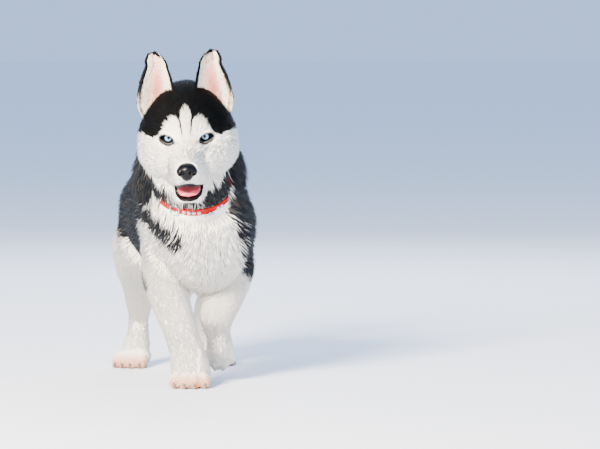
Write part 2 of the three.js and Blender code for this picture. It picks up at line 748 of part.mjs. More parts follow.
const DOWN = [0, 0, 1]; // the outward side of a region that lies below
const RIGHT_FORE = [[[-11, 0, 0], [1, 0, 0]], [[0, -50, 0], [0, 1, 0]]];
const LEFT_FORE = [[[-11, 0, 0], [-1, 0, 0]], [[0, -50, 0], [0, 1, 0]]];
part("forepaw_right", [[[0, 0, 34], DOWN], ...RIGHT_FORE]);
part("foreleg_right", [[[0, 0, 146], DOWN], ...RIGHT_FORE], [], ["torso"]);
part("forepaw_left", [[[0, 0, 62], DOWN], ...LEFT_FORE]);
part("foreleg_left", [[[0, 0, 146], DOWN], ...LEFT_FORE], [], ["torso"]);
for (const [side, sign] of [["left", 1], ["right", -1]]) {
  const inner = [[0, 0, 0], [-sign, 0, 0]];
  const front = [[0, 40, 0], [0, -1, 0]];
  part(`hindpaw_${side}`, [[[0, 0, 34], DOWN], inner, front]);
  part(`rear_pastern_${side}`, [[[0, 150, 92], [0, -0.5, 0.87]], inner, front]);
  part(`hindleg_${side}`, [[[0, 0, 172], DOWN], inner, front], [], ["torso"]);
}
part("tail", TAIL_REGION, ["tail"], ["torso"]);
part("head", HEAD_REGION, ["head"], ["neck"]);
part("neck", NECK_REGION, ["neck"], ["torso"]);
parts.set("torso", rest);

/** The finish of a piece, by its name. */
function finishOf(name) {
  if (/eye/.test(name)) return COLOURS.iris;
  if (/nose/.test(name)) return COLOURS.skin;
  if (/tongue/.test(name)) return COLOURS.pink;
  if (/strap/.test(name)) return COLOURS.webbing;
  if (/collar/.test(name)) return COLOURS.steel;
  if (/^(ear|neck|tail|torso)/.test(name)) return COLOURS.grey;
  return COLOURS.cream;
}

const group = new THREE.Group();
for (const [name, solid] of parts) {
  const mesh = largest(solid).getMesh();
  const geometry = new THREE.BufferGeometry()
    .setAttribute("position", new THREE.BufferAttribute(new Float32Array(mesh.vertProperties), 3))
    .setIndex(new THREE.BufferAttribute(mesh.triVerts, 1));
  const piece = new THREE.Mesh(geometry, new THREE.MeshStandardMaterial(finishOf(name)));
  piece.name = name;
  group.add(piece);
}

// The origin is on the floor, under the middle of the whole
const bounds = new THREE.Box3().setFromObject(group);
const middle = bounds.getCenter(new THREE.Vector3());
for (const piece of group.children) {
  piece.geometry.translate(-middle.x, -middle.y, -bounds.min.z);
}

export default group;
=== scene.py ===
"""A life-size siberian husky puppy, walking towards the viewer on a plain floor, in fur, skin and collar."""

import logging
import math
from dataclasses import dataclass, field
from enum import Enum

import bmesh
import bpy
import numpy as np
from bmesh.types import BMVert, BMVertSeq, BMesh
from bpy.types import Material, Mesh, Node, NodeSocket, NodeTree, Object
from mathutils import Matrix, Vector, kdtree


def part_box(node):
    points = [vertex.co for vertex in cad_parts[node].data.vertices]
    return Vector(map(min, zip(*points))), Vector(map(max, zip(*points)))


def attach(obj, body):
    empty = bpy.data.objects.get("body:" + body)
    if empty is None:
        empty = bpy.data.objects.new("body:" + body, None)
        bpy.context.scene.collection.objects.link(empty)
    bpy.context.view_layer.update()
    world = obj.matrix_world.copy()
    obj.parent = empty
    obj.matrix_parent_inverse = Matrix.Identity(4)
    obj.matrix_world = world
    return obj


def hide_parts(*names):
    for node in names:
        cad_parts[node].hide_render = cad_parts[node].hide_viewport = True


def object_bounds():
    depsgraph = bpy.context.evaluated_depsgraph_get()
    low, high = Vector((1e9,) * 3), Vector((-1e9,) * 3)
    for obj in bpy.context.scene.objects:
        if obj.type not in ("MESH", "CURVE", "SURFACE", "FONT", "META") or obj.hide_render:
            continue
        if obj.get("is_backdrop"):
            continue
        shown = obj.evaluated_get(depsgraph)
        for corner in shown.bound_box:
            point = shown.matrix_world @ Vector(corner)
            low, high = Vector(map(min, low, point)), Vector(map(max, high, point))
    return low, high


Array = np.ndarray
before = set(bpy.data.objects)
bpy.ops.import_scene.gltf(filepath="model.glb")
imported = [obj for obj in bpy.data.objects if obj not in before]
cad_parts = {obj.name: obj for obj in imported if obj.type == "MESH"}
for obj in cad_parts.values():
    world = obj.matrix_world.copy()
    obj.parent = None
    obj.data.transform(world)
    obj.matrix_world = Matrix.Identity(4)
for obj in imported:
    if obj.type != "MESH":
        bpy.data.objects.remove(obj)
CAD_BOX = [list(corner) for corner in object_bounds()]

log = logging.getLogger("husky")
MM = 0.001  # one millimetre in the row frame's metres
TURN = 2 * math.pi
SEED = 4821
LEFT = np.array([1.0, 0.0, 0.0])  # the puppy's own left
DOWN = np.array([0.0, 0.0, -1.0])
BODY = "root"

# Driving dimensions in mm; those of the trunk run out to the tips of its coat
SHOULDER_HALF_WIDTH = 90
HIP_HALF_WIDTH = 86
BACK_HEIGHT = 342
BRISKET_HEIGHT = 147
BODY_MIDDLE = (BACK_HEIGHT + BRISKET_HEIGHT) / 2
BODY_HALF_HEIGHT = (BACK_HEIGHT - BRISKET_HEIGHT) / 2
HOCK_RIGHT = 52
HOCK_LEFT = 60
EYE_HEIGHT = 386
EYE_SPREAD = 29.6
EYE_DEPTH = 7.0
EYE_RADIUS = 10.5
SOCKET_ROOM = 1.6
LID_HALF_WIDTH = 10.6
LID_HALF_HEIGHT = 6.9
LID_SHIFT = 0.8  # how far outside the eye's middle the middle of the lids' opening lies
LID_SLANT = 0.16  # how far the opening rises for each mm outwards
LID_SKEW = 0.2  # how much fuller it is on the inner side, as a share
IRIS_REACH = 16.0  # the way over the eyeball that its map's second axis stands for
COLLAR_RADIUS = 55
COLLAR_THICKNESS = 3
COLLAR_WIDTH = 13

# The most tufts that one piece holds, in short and in long hair
SHORT_TUFTS_PER_PIECE = 45000
LONG_TUFTS_PER_PIECE = 18500

# The view: a long lens five metres away, a little above the puppy's head
CAMERA_PLACE = (-986.7, -5065.9, 520.0)
CAMERA_YAW = 13.0
CAMERA_PITCH = 3.09
LENS = 195.0
VIEW_RIGHT = np.array([math.cos(math.radians(CAMERA_YAW)), -math.sin(math.radians(CAMERA_YAW)), 0.0])
VIEW_UP = (0.951, 0.309)  # up in the front view of the head: the z and y parts, in the head's frame
TRUNK_MIDDLE = 3.8  # where the trunk's middle line lies along VIEW_RIGHT, in mm


def placed(x: float, y: float, z: float, rx: float = 0, ry: float = 0, rz: float = 0) -> Array:
    """A matrix that turns by degrees about X, then Y, then Z, and moves to a point.

    Args:
        x, y, z: where the origin goes, in mm.
        rx, ry, rz: the turns in degrees.

    Returns:
        The 4 by 4 matrix.
    """
    turns = [Matrix.Rotation(math.radians(a), 4, axis) for a, axis in ((rz, "Z"), (ry, "Y"), (rx, "X"))]
    return np.array(Matrix.Translation((x, y, z)) @ turns[0] @ turns[1] @ turns[2])


def moved(points: Array, pose: Array) -> Array:
    """Points (n, 3) taken through a 4 by 4 matrix."""
    return points @ pose[:3, :3].T + pose[:3, 3]


def turned(directions: Array, pose: Array) -> Array:
    """Directions (n, 3) turned by a matrix, without its move."""
    return directions @ pose[:3, :3].T


def unit(vectors: Array) -> Array:
    """Vectors (n, 3) made one long."""
    return vectors / np.maximum(np.linalg.norm(vectors, axis=-1, keepdims=True), 1e-9)


def ramp(value: Array, low: float, high: float) -> Array:
    """A smooth step from 0 at low to 1 at high."""
    share = np.clip((value - low) / (high - low), 0, 1)
    return share * share * (3 - 2 * share)


HERE = np.eye(4)
HEAD_POSE = placed(-43.5, -215, EYE_HEIGHT, 15, -2.5, -13)
HEAD_BACK = np.linalg.inv(HEAD_POSE)
COLLAR_POSE = placed(-19, -147, 303, 36, -3, -6)
COLLAR_BACK = np.linalg.inv(COLLAR_POSE)
NOSE_PLACE = np.array([0.0, -67.0, -31.0])


def found_shift() -> Array:
    """Finds where the design's origin lies in the row frame, from the middles of the two eyes.

    Returns:
        Its place in mm.
    """
    middles = [sum(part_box(f"eye_{side}"), Vector()) / 2 for side in ("left", "right")]
    seen = np.array((middles[0] + middles[1]) / 2) / MM
    return seen - moved(np.array([[0.0, EYE_DEPTH, 0.0]]), HEAD_POSE)[0]


SHIFT = found_shift()


def to_row(points: Array) -> Array:
    """Design points in mm as row-frame points in metres."""
    return (points + SHIFT) * MM


def to_design(points: Array) -> Array:
    """Row-frame points in metres as design points in mm."""
    return points / MM - SHIFT


def put(verts: list[BMVert] | BMVertSeq, points: Array) -> None:
    """Moves vertices to design points."""
    for vert, place in zip(verts, to_row(points)):
        vert.co = place


def linear(code: str) -> Array:
    """An sRGB hex colour as linear RGB.

    Args:
        code: the colour, such as "#f4efe6".

    Returns:
        Three numbers from 0 to 1.
    """
    parts = np.array([int(code[i : i + 2], 16) / 255 for i in (1, 3, 5)])
    return np.where(parts <= 0.04045, parts / 12.92, ((parts + 0.055) / 1.055) ** 2.4)


def rgba(code: str) -> tuple[float, float, float, float]:
    """An sRGB hex colour as the linear RGBA that a socket takes."""
    return (*(float(v) for v in linear(code)), 1.0)


def catmull(points: Array, t: Array) -> Array:
    """Points on a smooth curve through the given ones.

    Args:
        points: the curve's own points (k, d).
        t: places along it, from 0 to 1.

    Returns:
        The points at t (n, d).
    """
    last = len(points) - 1
    padded = np.vstack([2 * points[0] - points[1], points, 2 * points[-1] - points[-2]])
    along = np.clip(t, 0, 1) * last
    i = np.minimum(along.astype(int), last - 1)
    w = (along - i)[:, None]
    a, b, c, d = padded[i], padded[i + 1], padded[i + 2], padded[i + 3]
    return 0.5 * (2 * b + (c - a) * w + (2 * a - 5 * b + 4 * c - d) * w**2 + (3 * b - a - 3 * c + d) * w**3)


class Flow(Enum):
    """Which way the hair lies."""

    ALONG = "from the first station to the last"
    FROM_NOSE = "away from the nose, over the head"


class Zone(Enum):
    """The parts of the coat, each made as pieces of its own."""

    FACE = "face"
    RUFF = "ruff"
    NECK = "neck"
    CHEST = "chest"
    BACK = "back"
    FORE = "forelegs"
    HIND = "hindlegs"
    TAIL = "tail"
    EARS = "ears"

    @property
    def number(self) -> int:
        """The part's place in the list of parts."""
        return list(Zone).index(self)


SHORT_COATED = (Zone.FACE, Zone.FORE, Zone.HIND)


@dataclass(frozen=True)
class Coat:
    """The hair on a form.

    Attributes:
        stops: rows of (t, hair length, coat depth), in mm.
        width: how wide a tuft is at its root, in mm.
        density: tufts to the square millimetre, before the skin's total is shared out by it.
        flow: which way it lies.
        zone: the part of the coat that it belongs to.
    """

    stops: tuple[tuple[float, float, float], ...]
    width: float
    density: float
    zone: Zone
    flow: Flow = Flow.ALONG

    def at(self, t: Array, column: int) -> Array:
        """The length (column 1) or depth (column 2) at places t."""
        rows = np.array(self.stops)
        return np.interp(t, rows[:, 0], rows[:, column])


@dataclass(frozen=True, eq=False)
class Form:
    """A mass of the body: oval sections along a smooth path, with round ends.

    Attributes:
        stations: rows of (x, y, z, half width, half height), in mm.
        coat: the hair that grows on it.
        pose: the frame that its stations are in.
        blunt: how round its ends are.
    """

    stations: tuple[tuple[float, ...], ...]
    coat: Coat
    pose: Array = field(default_factory=lambda: HERE)
    blunt: float = 0.75

    def centres(self, t: Array) -> Array:
        """The points of the path at t."""
        return catmull(moved(np.array(self.stations, float)[:, :3], self.pose), t)

    def sizes(self, t: Array) -> Array:
        """The half widths and half heights at t."""
        return catmull(np.array(self.stations, float)[:, 3:5], t)

    @property
    def length(self) -> float:
        """How long the path is."""
        points = self.centres(np.linspace(0, 1, 200))
        return float(np.linalg.norm(np.diff(points, axis=0), axis=1).sum())

    def reach(self, end: float) -> float:
        """How far the round end at t = 0 or 1 runs past the path."""
        return self.blunt * float(self.sizes(np.array([end])).min())

    def axes(self, t: Array) -> tuple[Array, Array, Array]:
        """The frame of the section at places of the path.

        Args:
            t: the places, from 0 to 1.

        Returns:
            The directions along the path, to the side and up, (n, 3) each.
        """
        along = unit(self.centres(np.minimum(1, t + 1e-4)) - self.centres(np.maximum(0, t - 1e-4)))
        side = turned(LEFT[None], self.pose)
        side = unit(side - (along * side).sum(1, keepdims=True) * along)
        return along, side, np.cross(side, along)

    def surface(self, t: Array, angle: Array) -> Array:
        """Points on the form's skin, which lies a coat's depth inside it.

        Args:
            t: places along it, running past 0 and 1 into the round ends.
            angle: the angle about the path, in radians.

        Returns:
            The points (n, 3).
        """
        end = np.clip(t, 0, 1)
        depth = self.coat.at(end, 2)
        reach = np.where(t < 0.5, self.reach(0), self.reach(1))
        past = np.abs(t - end) * self.length / reach
        swing = np.minimum(1, past) * math.pi / 2
        along, side, up = self.axes(end)
        shift = np.sign(t - end) * np.maximum(1, reach - depth) * np.sin(swing)
        size = self.sizes(end)
        size = np.maximum(size * 0.4, size - depth[:, None]) * np.cos(swing)[:, None]
        across = side * (size[:, 0] * np.cos(angle))[:, None] + up * (size[:, 1] * np.sin(angle))[:, None]
        return self.centres(end) + along * shift[:, None] + across

    def shell(self, bm: BMesh, around: int = 28, rings: int = 30) -> None:
        """Adds the form's skin to a bmesh as a closed shell.

        Args:
            bm: the bmesh to add to, in the row frame.
            around: how many faces the shell has around.
            rings: how many it has from end to end.
        """
        made = bmesh.ops.create_uvsphere(bm, u_segments=around, v_segments=rings, radius=1)["verts"]
        ball = np.array([v.co for v in made])
        share = np.arccos(np.clip(-ball[:, 2], -1, 1)) / math.pi
        low, high = -self.reach(0) / self.length, 1 + self.reach(1) / self.length
        put(made, self.surface(low + (high - low) * share, np.arctan2(ball[:, 1], ball[:, 0])))

    def away(self, points: Array, samples: int = 32) -> Array:
        """About how far points lie outside the form's skin.

        Args:
            points: design points in mm.
            samples: how many places of the path are tried.

        Returns:
            The distances in mm, negative inside.
        """
        t = np.linspace(0, 1, samples)
        centres = self.centres(t)
        near = np.linalg.norm(points[:, None] - centres[None], axis=2).argmin(1)
        along, side, up = (a[near] for a in self.axes(t))
        size = (self.sizes(t) - self.coat.at(t, 2)[:, None])[near]
        offset = points - centres[near]
        across = np.hypot((offset * side).sum(1) / size[:, 0], (offset * up).sum(1) / size[:, 1])
        past = np.abs((offset * along).sum(1)) - self.length / (samples - 1)
        return np.maximum((across - 1) * size.min(1), past - self.reach(0))


# The hair of each part of the body, in mm, from its first station to its last
FACE_COAT = Coat(((0, 17, 7), (0.35, 11, 4.5), (0.55, 8, 3.2), (0.75, 5.5, 2.2), (1, 3.6, 1.5)), 1.15, 0.95,
                 Zone.FACE, Flow.FROM_NOSE)
LIP_COAT = Coat(((0, 8, 3), (1, 4, 1.6)), 1.0, 1.1, Zone.FACE, Flow.FROM_NOSE)
JAW_COAT = Coat(((0, 14, 6), (0.5, 8, 3), (1, 3.2, 1.3)), 1.0, 1.0, Zone.FACE, Flow.FROM_NOSE)
CHEEK_HAIR = Coat(((0, 8, 3), (0.45, 18, 8), (1, 28, 13)), 1.35, 0.5, Zone.RUFF, Flow.FROM_NOSE)
BODY_HAIR = Coat(((0, 34, 13), (1, 32, 12)), 2.2, 0.15, Zone.BACK)
CHEST_HAIR = Coat(((0, 30, 11), (1, 34, 13)), 2.0, 0.24, Zone.CHEST)
NECK_HAIR = Coat(((0, 20, 7), (0.5, 24, 8), (1, 34, 13)), 1.9, 0.24, Zone.NECK)
MANE_HAIR = Coat(((0, 34, 14), (1, 40, 15)), 2.2, 0.17, Zone.NECK)
TAIL_HAIR = Coat(((0, 36, 13), (0.4, 46, 16), (0.85, 42, 13), (1, 34, 4)), 2.3, 0.2, Zone.TAIL)
FORELEG_HAIR = Coat(((0, 22, 7), (0.4, 15, 4.2), (1, 12, 3.2)), 1.5, 0.62, Zone.FORE)
LOWER_HAIR = Coat(((0, 12, 3), (1, 9, 2.4)), 1.35, 0.7, Zone.FORE)
THIGH_HAIR = Coat(((0, 30, 10), (0.6, 24, 7), (1, 16, 4.5)), 1.7, 0.4, Zone.HIND)
SHANK_HAIR = Coat(((0, 15, 4), (1, 10, 2.8)), 1.4, 0.6, Zone.HIND)
PAW_HAIR = Coat(((0, 7, 2.2), (1, 5, 1.4)), 1.1, 0.9, Zone.FORE)
HINDPAW_HAIR = Coat(((0, 7, 2.2), (1, 5, 1.4)), 1.1, 0.9, Zone.HIND)
BARE = Coat(((0, 0, 0), (1, 0, 0)), 1.0, 0.0, Zone.FACE)

TORSO = Form((
    (-2, -160, BODY_MIDDLE - 16, 56, 56),
    (0, -124, BODY_MIDDLE - 4, 84, 86),
    (0, -70, BODY_MIDDLE, SHOULDER_HALF_WIDTH, BODY_HALF_HEIGHT),
    (-2, -8, BODY_MIDDLE + 3, SHOULDER_HALF_WIDTH + 2, BODY_HALF_HEIGHT - 2),
    (-5, 50, BODY_MIDDLE + 9, 89, 88),
    (-8, 100, BODY_MIDDLE + 16, HIP_HALF_WIDTH, 80),
    (-8, 142, BODY_MIDDLE + 16, HIP_HALF_WIDTH - 8, 73),
    (-6, 176, BODY_MIDDLE + 14, 58, 54),
), BODY_HAIR)
NECK = Form((
    (-38, -166, 400, 58, 52),
    (-34, -164, 356, 62, 58),
    (-26, -152, 312, 60, 57),
    (-15, -140, 276, 72, 64),
    (-2, -122, 240, 84, 76),
), NECK_HAIR)
CHEST = Form((
    (-8, -158, 262, 64, 46),
    (-2, -160, 226, 68, 46),
    (0, -142, 190, 58, 44),
    (0, -114, 168, 40, 34),
), CHEST_HAIR, blunt=0.5)
MANE = Form((
    (-32, -120, 418, 50, 42),
    (-25, -106, 378, 72, 54),
    (-16, -86, 330, 90, 66),
    (-4, -58, 280, 84, 74),
), MANE_HAIR)
TAIL = Form((
    (-6, 172, 298, 22, 24),
    (0, 210, 308, 28, 30),
    (10, 236, 338, 34, 36),
    (18, 236, 378, 36, 39),
    (24, 212, 406, 31, 34),
    (27, 184, 418, 20, 23),
    (28, 166, 420, 8, 10),
), TAIL_HAIR)
SKULL = Form((
    (0, 98, 14, 40, 42),
    (0, 80, 12, 54, 58),
    (0, 56, 10, 64, 59),
    (0, 30, 2, 67, 52),
    (0, 9, -12, 60, 39),
    (0, -5, -22, 45, 27),
    (0, -20, -32, 34, 24),
    (0, -46, -39, 26, 20),
    (0, -60, -41, 22, 17),
), FACE_COAT, HEAD_POSE, 0.6)
JAW = Form((
    (0, 40, -54, 46, 22),
    (0, 10, -68, 36, 17),
    (0, -18, -77, 27, 12),
    (0, -38, -82, 23, 9),
    (0, -50, -83.5, 20, 7.5),
), JAW_COAT, HEAD_POSE, 0.7)
MOUTH = Form((
    (0, 16, -56, 18, 5),
    (0, -10, -63, 22, 9),
    (0, -34, -68, 21, 12),
    (0, -58, -71, 19, 13),
    (0, -90, -74, 19, 14),
), BARE, HEAD_POSE)
TONGUE = Form((
    (0, 14, -58, 15, 4),
    (0, -10, -68, 17.5, 4.6),
    (0, -32, -74.5, 17, 4.4),
    (0, -45, -77, 13, 3.6),
), BARE, HEAD_POSE)


def flew(sign: int) -> Form:
    """The hanging side of the upper lip.

    Args:
        sign: 1 on the left.

    Returns:
        The form.
    """
    return Form((
        (sign * 26, 8, -54, 11, 19),
        (sign * 23, -16, -54, 12, 18),
        (sign * 17, -42, -50, 12.5, 14.5),
        (sign * 11, -58, -48, 11, 11),
    ), LIP_COAT, HEAD_POSE)


def cheek(sign: int) -> Form:
    """The cheek with its ruff.

    Args:
        sign: 1 on the left.

    Returns:
        The form.
    """
    return Form((
        (sign * 26, -16, -36, 18, 22),
        (sign * 42, 10, -26, 27, 37),
        (sign * 46, 36, -14, 31, 49),
        (sign * 38, 60, -8, 33, 50),
    ), CHEEK_HAIR, HEAD_POSE)


def forelegs() -> list[Form]:
    """Both forelegs, the right one first, each from the shoulder to the carpus and on to the foot."""
    return [
        Form((
            (-50, -84, 214, 36, 46),
            (-57, -96, 172, 35, 39),
            (-53, -124, 130, 31, 32),
            (-43, -150, 92, 29, 29),
            (-38, -162, 68, 28, 28),
        ), FORELEG_HAIR),
        Form(((-39, -158, 76, 27, 27), (-34, -172, 48, 29, 27), (-31, -182, 24, 31, 28)), LOWER_HAIR),
        Form((
            (50, -76, 214, 34, 46),
            (53, -86, 176, 34, 38),
            (38, -112, 138, 31, 31),
            (21, -130, 108, 29, 28),
            (17, -137, 97, 27, 26),
        ), FORELEG_HAIR),
        Form(((17, -135, 102, 26, 26), (23, -126, 80, 22, 22), (29, -113, 58, 21, 20)), LOWER_HAIR),
    ]


def hindleg(sign: int, hock: float) -> list[Form]:
    """A hind leg's thigh, shank and rear pastern.

    Args:
        sign: 1 on the left.
        hock: how far the hock stands from the middle, in mm.

    Returns:
        The three forms.
    """
    return [
        Form((
            (sign * 46, 122, 258, 38, 60),
            (sign * 64, 110, 214, 37, 56),
            (sign * 66, 98, 172, 34, 45),
            (sign * 62, 92, 144, 27, 33),
        ), THIGH_HAIR),
        Form((
            (sign * 62, 96, 152, 29, 35),
            (sign * (hock + 4), 130, 116, 25, 29),
            (sign * (hock - 2), 162, 90, 20, 22),
        ), SHANK_HAIR),
        Form((
            (sign * (hock - 2), 166, 94, 19, 20),
            (sign * (hock - 1), 165, 60, 20, 20),
            (sign * (hock + 4), 158, 26, 23, 23),
        ), SHANK_HAIR),
    ]


@dataclass(frozen=True, eq=False)
class Paw:
    """A paw with its palm, four toes and claws; its toes point to -Y and its sole is at z = 0.

    Attributes:
        pose: the frame that it is in.
        spread: how wide it is.
        coat: the hair that grows on it.
        outer_tip: the y of the outer toes' tips, in mm.
    """

    pose: Array
    spread: float
    coat: Coat
    outer_tip: float = -30

    def toes(self) -> list[tuple[float, float]]:
        """Each toe's x and the y of its tip."""
        return [(place * 14 * self.spread, -36 if abs(place) < 1 else self.outer_tip)
                for place in (-1.5, -0.5, 0.5, 1.5)]

    def forms(self) -> list[Form]:
        """The palm and the toes."""
        wide = self.spread
        rows = [((0, 16, 21, 24 * wide, 20), (0, -2, 18, 28 * wide, 18), (0, -16, 14, 25 * wide, 14))]
        rows += [((x * 0.8, tip + 26, 15, 9, 12), (x, tip + 12, 14, 9.5, 13), (x * 1.04, tip, 8.5, 8.4, 9.5))
                 for x, tip in self.toes()]
        return [Form(row, self.coat, self.pose) for row in rows]

    def claws(self) -> list[Form]:
        """The four claws."""
        return [Form(((x * 1.04, tip + 2, 10.5, 2.9, 3.2), (x * 1.06, tip - 8, 8, 2.1, 2.4),
                      (x * 1.08, tip - 12, 4.6, 0.8, 0.8)), BARE, self.pose, 0.4) for x, tip in self.toes()]

    def pads(self) -> list[Form]:
        """The leather pads under the palm and the toes."""
        rows = [((0, 6, 5.4, 15 * self.spread, 4.6), (0, -8, 5, 16 * self.spread, 4.4))]
        rows += [((x, tip + 13, 4.6, 6, 3.8), (x, tip + 2, 4.4, 5.6, 3.6)) for x, tip in self.toes()]
        return [Form(row, BARE, self.pose) for row in rows]


PAWS = {
    "forepaw_right": Paw(placed(-32, -184, 0, 0, 0, -14), 1.06, PAW_HAIR),
    "forepaw_left": Paw(placed(28, -112, 62, 118, 0, -8), 0.78, PAW_HAIR, -25),
    "hindpaw_right": Paw(placed(-60, 150, 0, 0, 0, -30), 0.96, HINDPAW_HAIR),
    "hindpaw_left": Paw(placed(67, 150, 0, 0, 0, 20), 0.96, HINDPAW_HAIR),
}
STANDING = ("forepaw_right", "hindpaw_right", "hindpaw_left")
LIFTED_MIDDLE = (29, -108, 58)  # the middle of the lifted paw


def all_forms() -> list[Form]:
    """Lists what the skin is made of.

    Returns:
        Every form, from the trunk to the toes.
    """
    made = [TORSO, NECK, CHEST, MANE, TAIL, SKULL, JAW, *(f(s) for f in (flew, cheek) for s in (1, -1))]
    made += [*forelegs(), *hindleg(-1, HOCK_RIGHT), *hindleg(1, HOCK_LEFT)]
    for paw in PAWS.values():
        made += paw.forms()
    return made


def add_node(
    tree: NodeTree,
    kind: str,
    values: dict[str | int, object] | None = None,
    links: dict[str | int, NodeSocket] | None = None,
    **settings: object,
) -> Node:
    """Adds a node to a tree.

    Args:
        tree: the material's node tree.
        kind: the node's type name.
        values: numbers and colours for its input sockets, by name or place.
        links: output sockets that feed its input sockets, by name or place.
        settings: the node's own properties.

    Returns:
        The node.
    """
    node = tree.nodes.new(kind)
    for name, value in settings.items():
        setattr(node, name, value)
    for name, value in (values or {}).items():
        node.inputs[name].default_value = value
    for name, source in (links or {}).items():
        tree.links.new(source, node.inputs[name])
    return node


@dataclass(frozen=True)
class Finish:
    """A finish made of shader nodes; each kind adds its own pattern.

    Attributes:
        name: the material's name.
        shader: values for the shader's own sockets.
    """

    name: str
    shader: dict[str, object]

    def colour(self, tree: NodeTree) -> NodeSocket | None:
        """The socket that gives the colour, or None for the shader's own."""
        return None

    def height(self, tree: NodeTree) -> tuple[NodeSocket, float] | None:
        """The socket that gives the relief and how deep it is in mm, or None."""
        return None

    def make(self) -> Material:
        """Builds the material.

        Returns:
            The material, with its nodes linked.
        """
        material = bpy.data.materials.new(self.name)
        material.use_nodes = True
        tree = material.node_tree
        tree.nodes.clear()
        links: dict[str, NodeSocket] = {}
        colour = self.colour(tree)
        if colour is not None:
            links["Base Color"] = colour
        relief = self.height(tree)
        if relief is not None:
            bump = add_node(tree, "ShaderNodeBump", {"Distance": relief[1] * MM, "Strength": 1.0},
                            {"Height": relief[0]})
            links["Normal"] = bump.outputs["Normal"]
        shader = add_node(tree, "ShaderNodeBsdfPrincipled", self.shader, links)
        add_node(tree, "ShaderNodeOutputMaterial", links={"Surface": shader.outputs["BSDF"]})
        return material


def object_noise(tree: NodeTree, grain: float, detail: float = 2.0) -> NodeSocket:
    """A noise whose grain is a real size in mm, on object coordinates.

    Args:
        tree: the material's node tree.
        grain: the size of one grain, in mm.
        detail: how many finer layers it has.

    Returns:
        The socket with its value.
    """
    place = add_node(tree, "ShaderNodeTexCoord").outputs["Object"]
    noise = add_node(tree, "ShaderNodeTexNoise", {"Scale": 1 / (grain * MM), "Detail": detail},
                     {"Vector": place})
    return noise.outputs["Fac"]


@dataclass(frozen=True)
class TintedFinish(Finish):
    """Hair or hairy skin: its colour is painted as an attribute, and fine noise breaks it up.

    Attributes:
        grain: the size of the lighter and darker flecks, in mm.
        spread: how far they change the brightness.
        nap: the size of the relief's grain, in mm.
        relief: how deep the relief is, in mm.
    """

    grain: float = 2.0
    spread: float = 0.12
    nap: float = 1.2
    relief: float = 0.0

    def colour(self, tree: NodeTree) -> NodeSocket:
        """The painted colour, made a little lighter and darker.

        Args:
            tree: the material's node tree.

        Returns:
            The colour's socket.
        """
        tint = add_node(tree, "ShaderNodeAttribute", attribute_name="tint").outputs["Color"]
        level = add_node(tree, "ShaderNodeMapRange",
                         {"From Min": 0.3, "From Max": 0.7, "To Min": 1 - self.spread, "To Max": 1 + self.spread},
                         {"Value": object_noise(tree, self.grain)}).outputs["Result"]
        return add_node(tree, "ShaderNodeVectorMath", links={0: tint, 1: level},
                        operation="MULTIPLY").outputs["Vector"]

    def height(self, tree: NodeTree) -> tuple[NodeSocket, float] | None:
        """Short flat hair as fine relief."""
        return (object_noise(tree, self.nap, 3.0), self.relief) if self.relief else None


@dataclass(frozen=True)
class GrainFinish(Finish):
    """Leather, horn or wet skin: two close colours and a pebbled grain.

    Attributes:
        low, high: the two colours.
        blotch: the size of the colour's patches, in mm.
        cell: the size of a pebble of the grain, in mm.
        relief: how deep the grain is, in mm.
    """

    low: str = "#101010"
    high: str = "#202020"
    blotch: float = 6.0
    cell: float = 1.0
    relief: float = 0.2

    def colour(self, tree: NodeTree) -> NodeSocket:
        """The two colours in soft patches."""
        return add_node(tree, "ShaderNodeMix", {6: rgba(self.low), 7: rgba(self.high)},
                        {0: object_noise(tree, self.blotch)}, data_type="RGBA").outputs[2]

    def height(self, tree: NodeTree) -> tuple[NodeSocket, float]:
        """Pebbles with grooves between them.

        Args:
            tree: the material's node tree.

        Returns:
            The height's socket and its depth in mm.
        """
        place = add_node(tree, "ShaderNodeTexCoord").outputs["Object"]
        cells = add_node(tree, "ShaderNodeTexVoronoi", {"Scale": 1 / (self.cell * MM)}, {"Vector": place},
                         feature="DISTANCE_TO_EDGE")
        return cells.outputs["Distance"], self.relief


@dataclass(frozen=True)
class IrisFinish(Finish):
    """A pale blue iris with a small pupil and a dark edge, under a wet clear surface.

    Attributes:
        rings: rows of (mm from the middle of the pupil, colour).
        wobble: how far the spokes shift the rings, as a share of the map.
    """

    rings: tuple[tuple[float, str], ...] = ()
    wobble: float = 0.03

    def colour(self, tree: NodeTree) -> NodeSocket:
        """The rings, with fine spokes.

        Args:
            tree: the material's node tree.

        Returns:
            The colour's socket.
        """
        place = add_node(tree, "ShaderNodeUVMap", uv_map="Iris").outputs["UV"]
        parts = add_node(tree, "ShaderNodeSeparateXYZ", links={"Vector": place})
        stretched = add_node(tree, "ShaderNodeMapping", {"Scale": (60.0, 3.0, 1.0)}, {"Vector": place})
        spokes = add_node(tree, "ShaderNodeTexNoise", {"Scale": 1.0, "Detail": 2.0},
                          {"Vector": stretched.outputs["Vector"]}).outputs["Fac"]
        shift = add_node(tree, "ShaderNodeMath", {1: self.wobble}, {0: spokes}, operation="MULTIPLY").outputs[0]
        where = add_node(tree, "ShaderNodeMath", links={0: parts.outputs["Y"], 1: shift},
                         operation="ADD").outputs[0]
        bands = add_node(tree, "ShaderNodeValToRGB", links={"Fac": where})
        ramp_stops = bands.color_ramp.elements
        while len(ramp_stops) < len(self.rings):
            ramp_stops.new(0.5)
        for stop, (distance, code) in zip(ramp_stops, self.rings):
            stop.position = min(1.0, distance / IRIS_REACH + self.wobble / 2)
            stop.color = rgba(code)
        return bands.outputs["Color"]


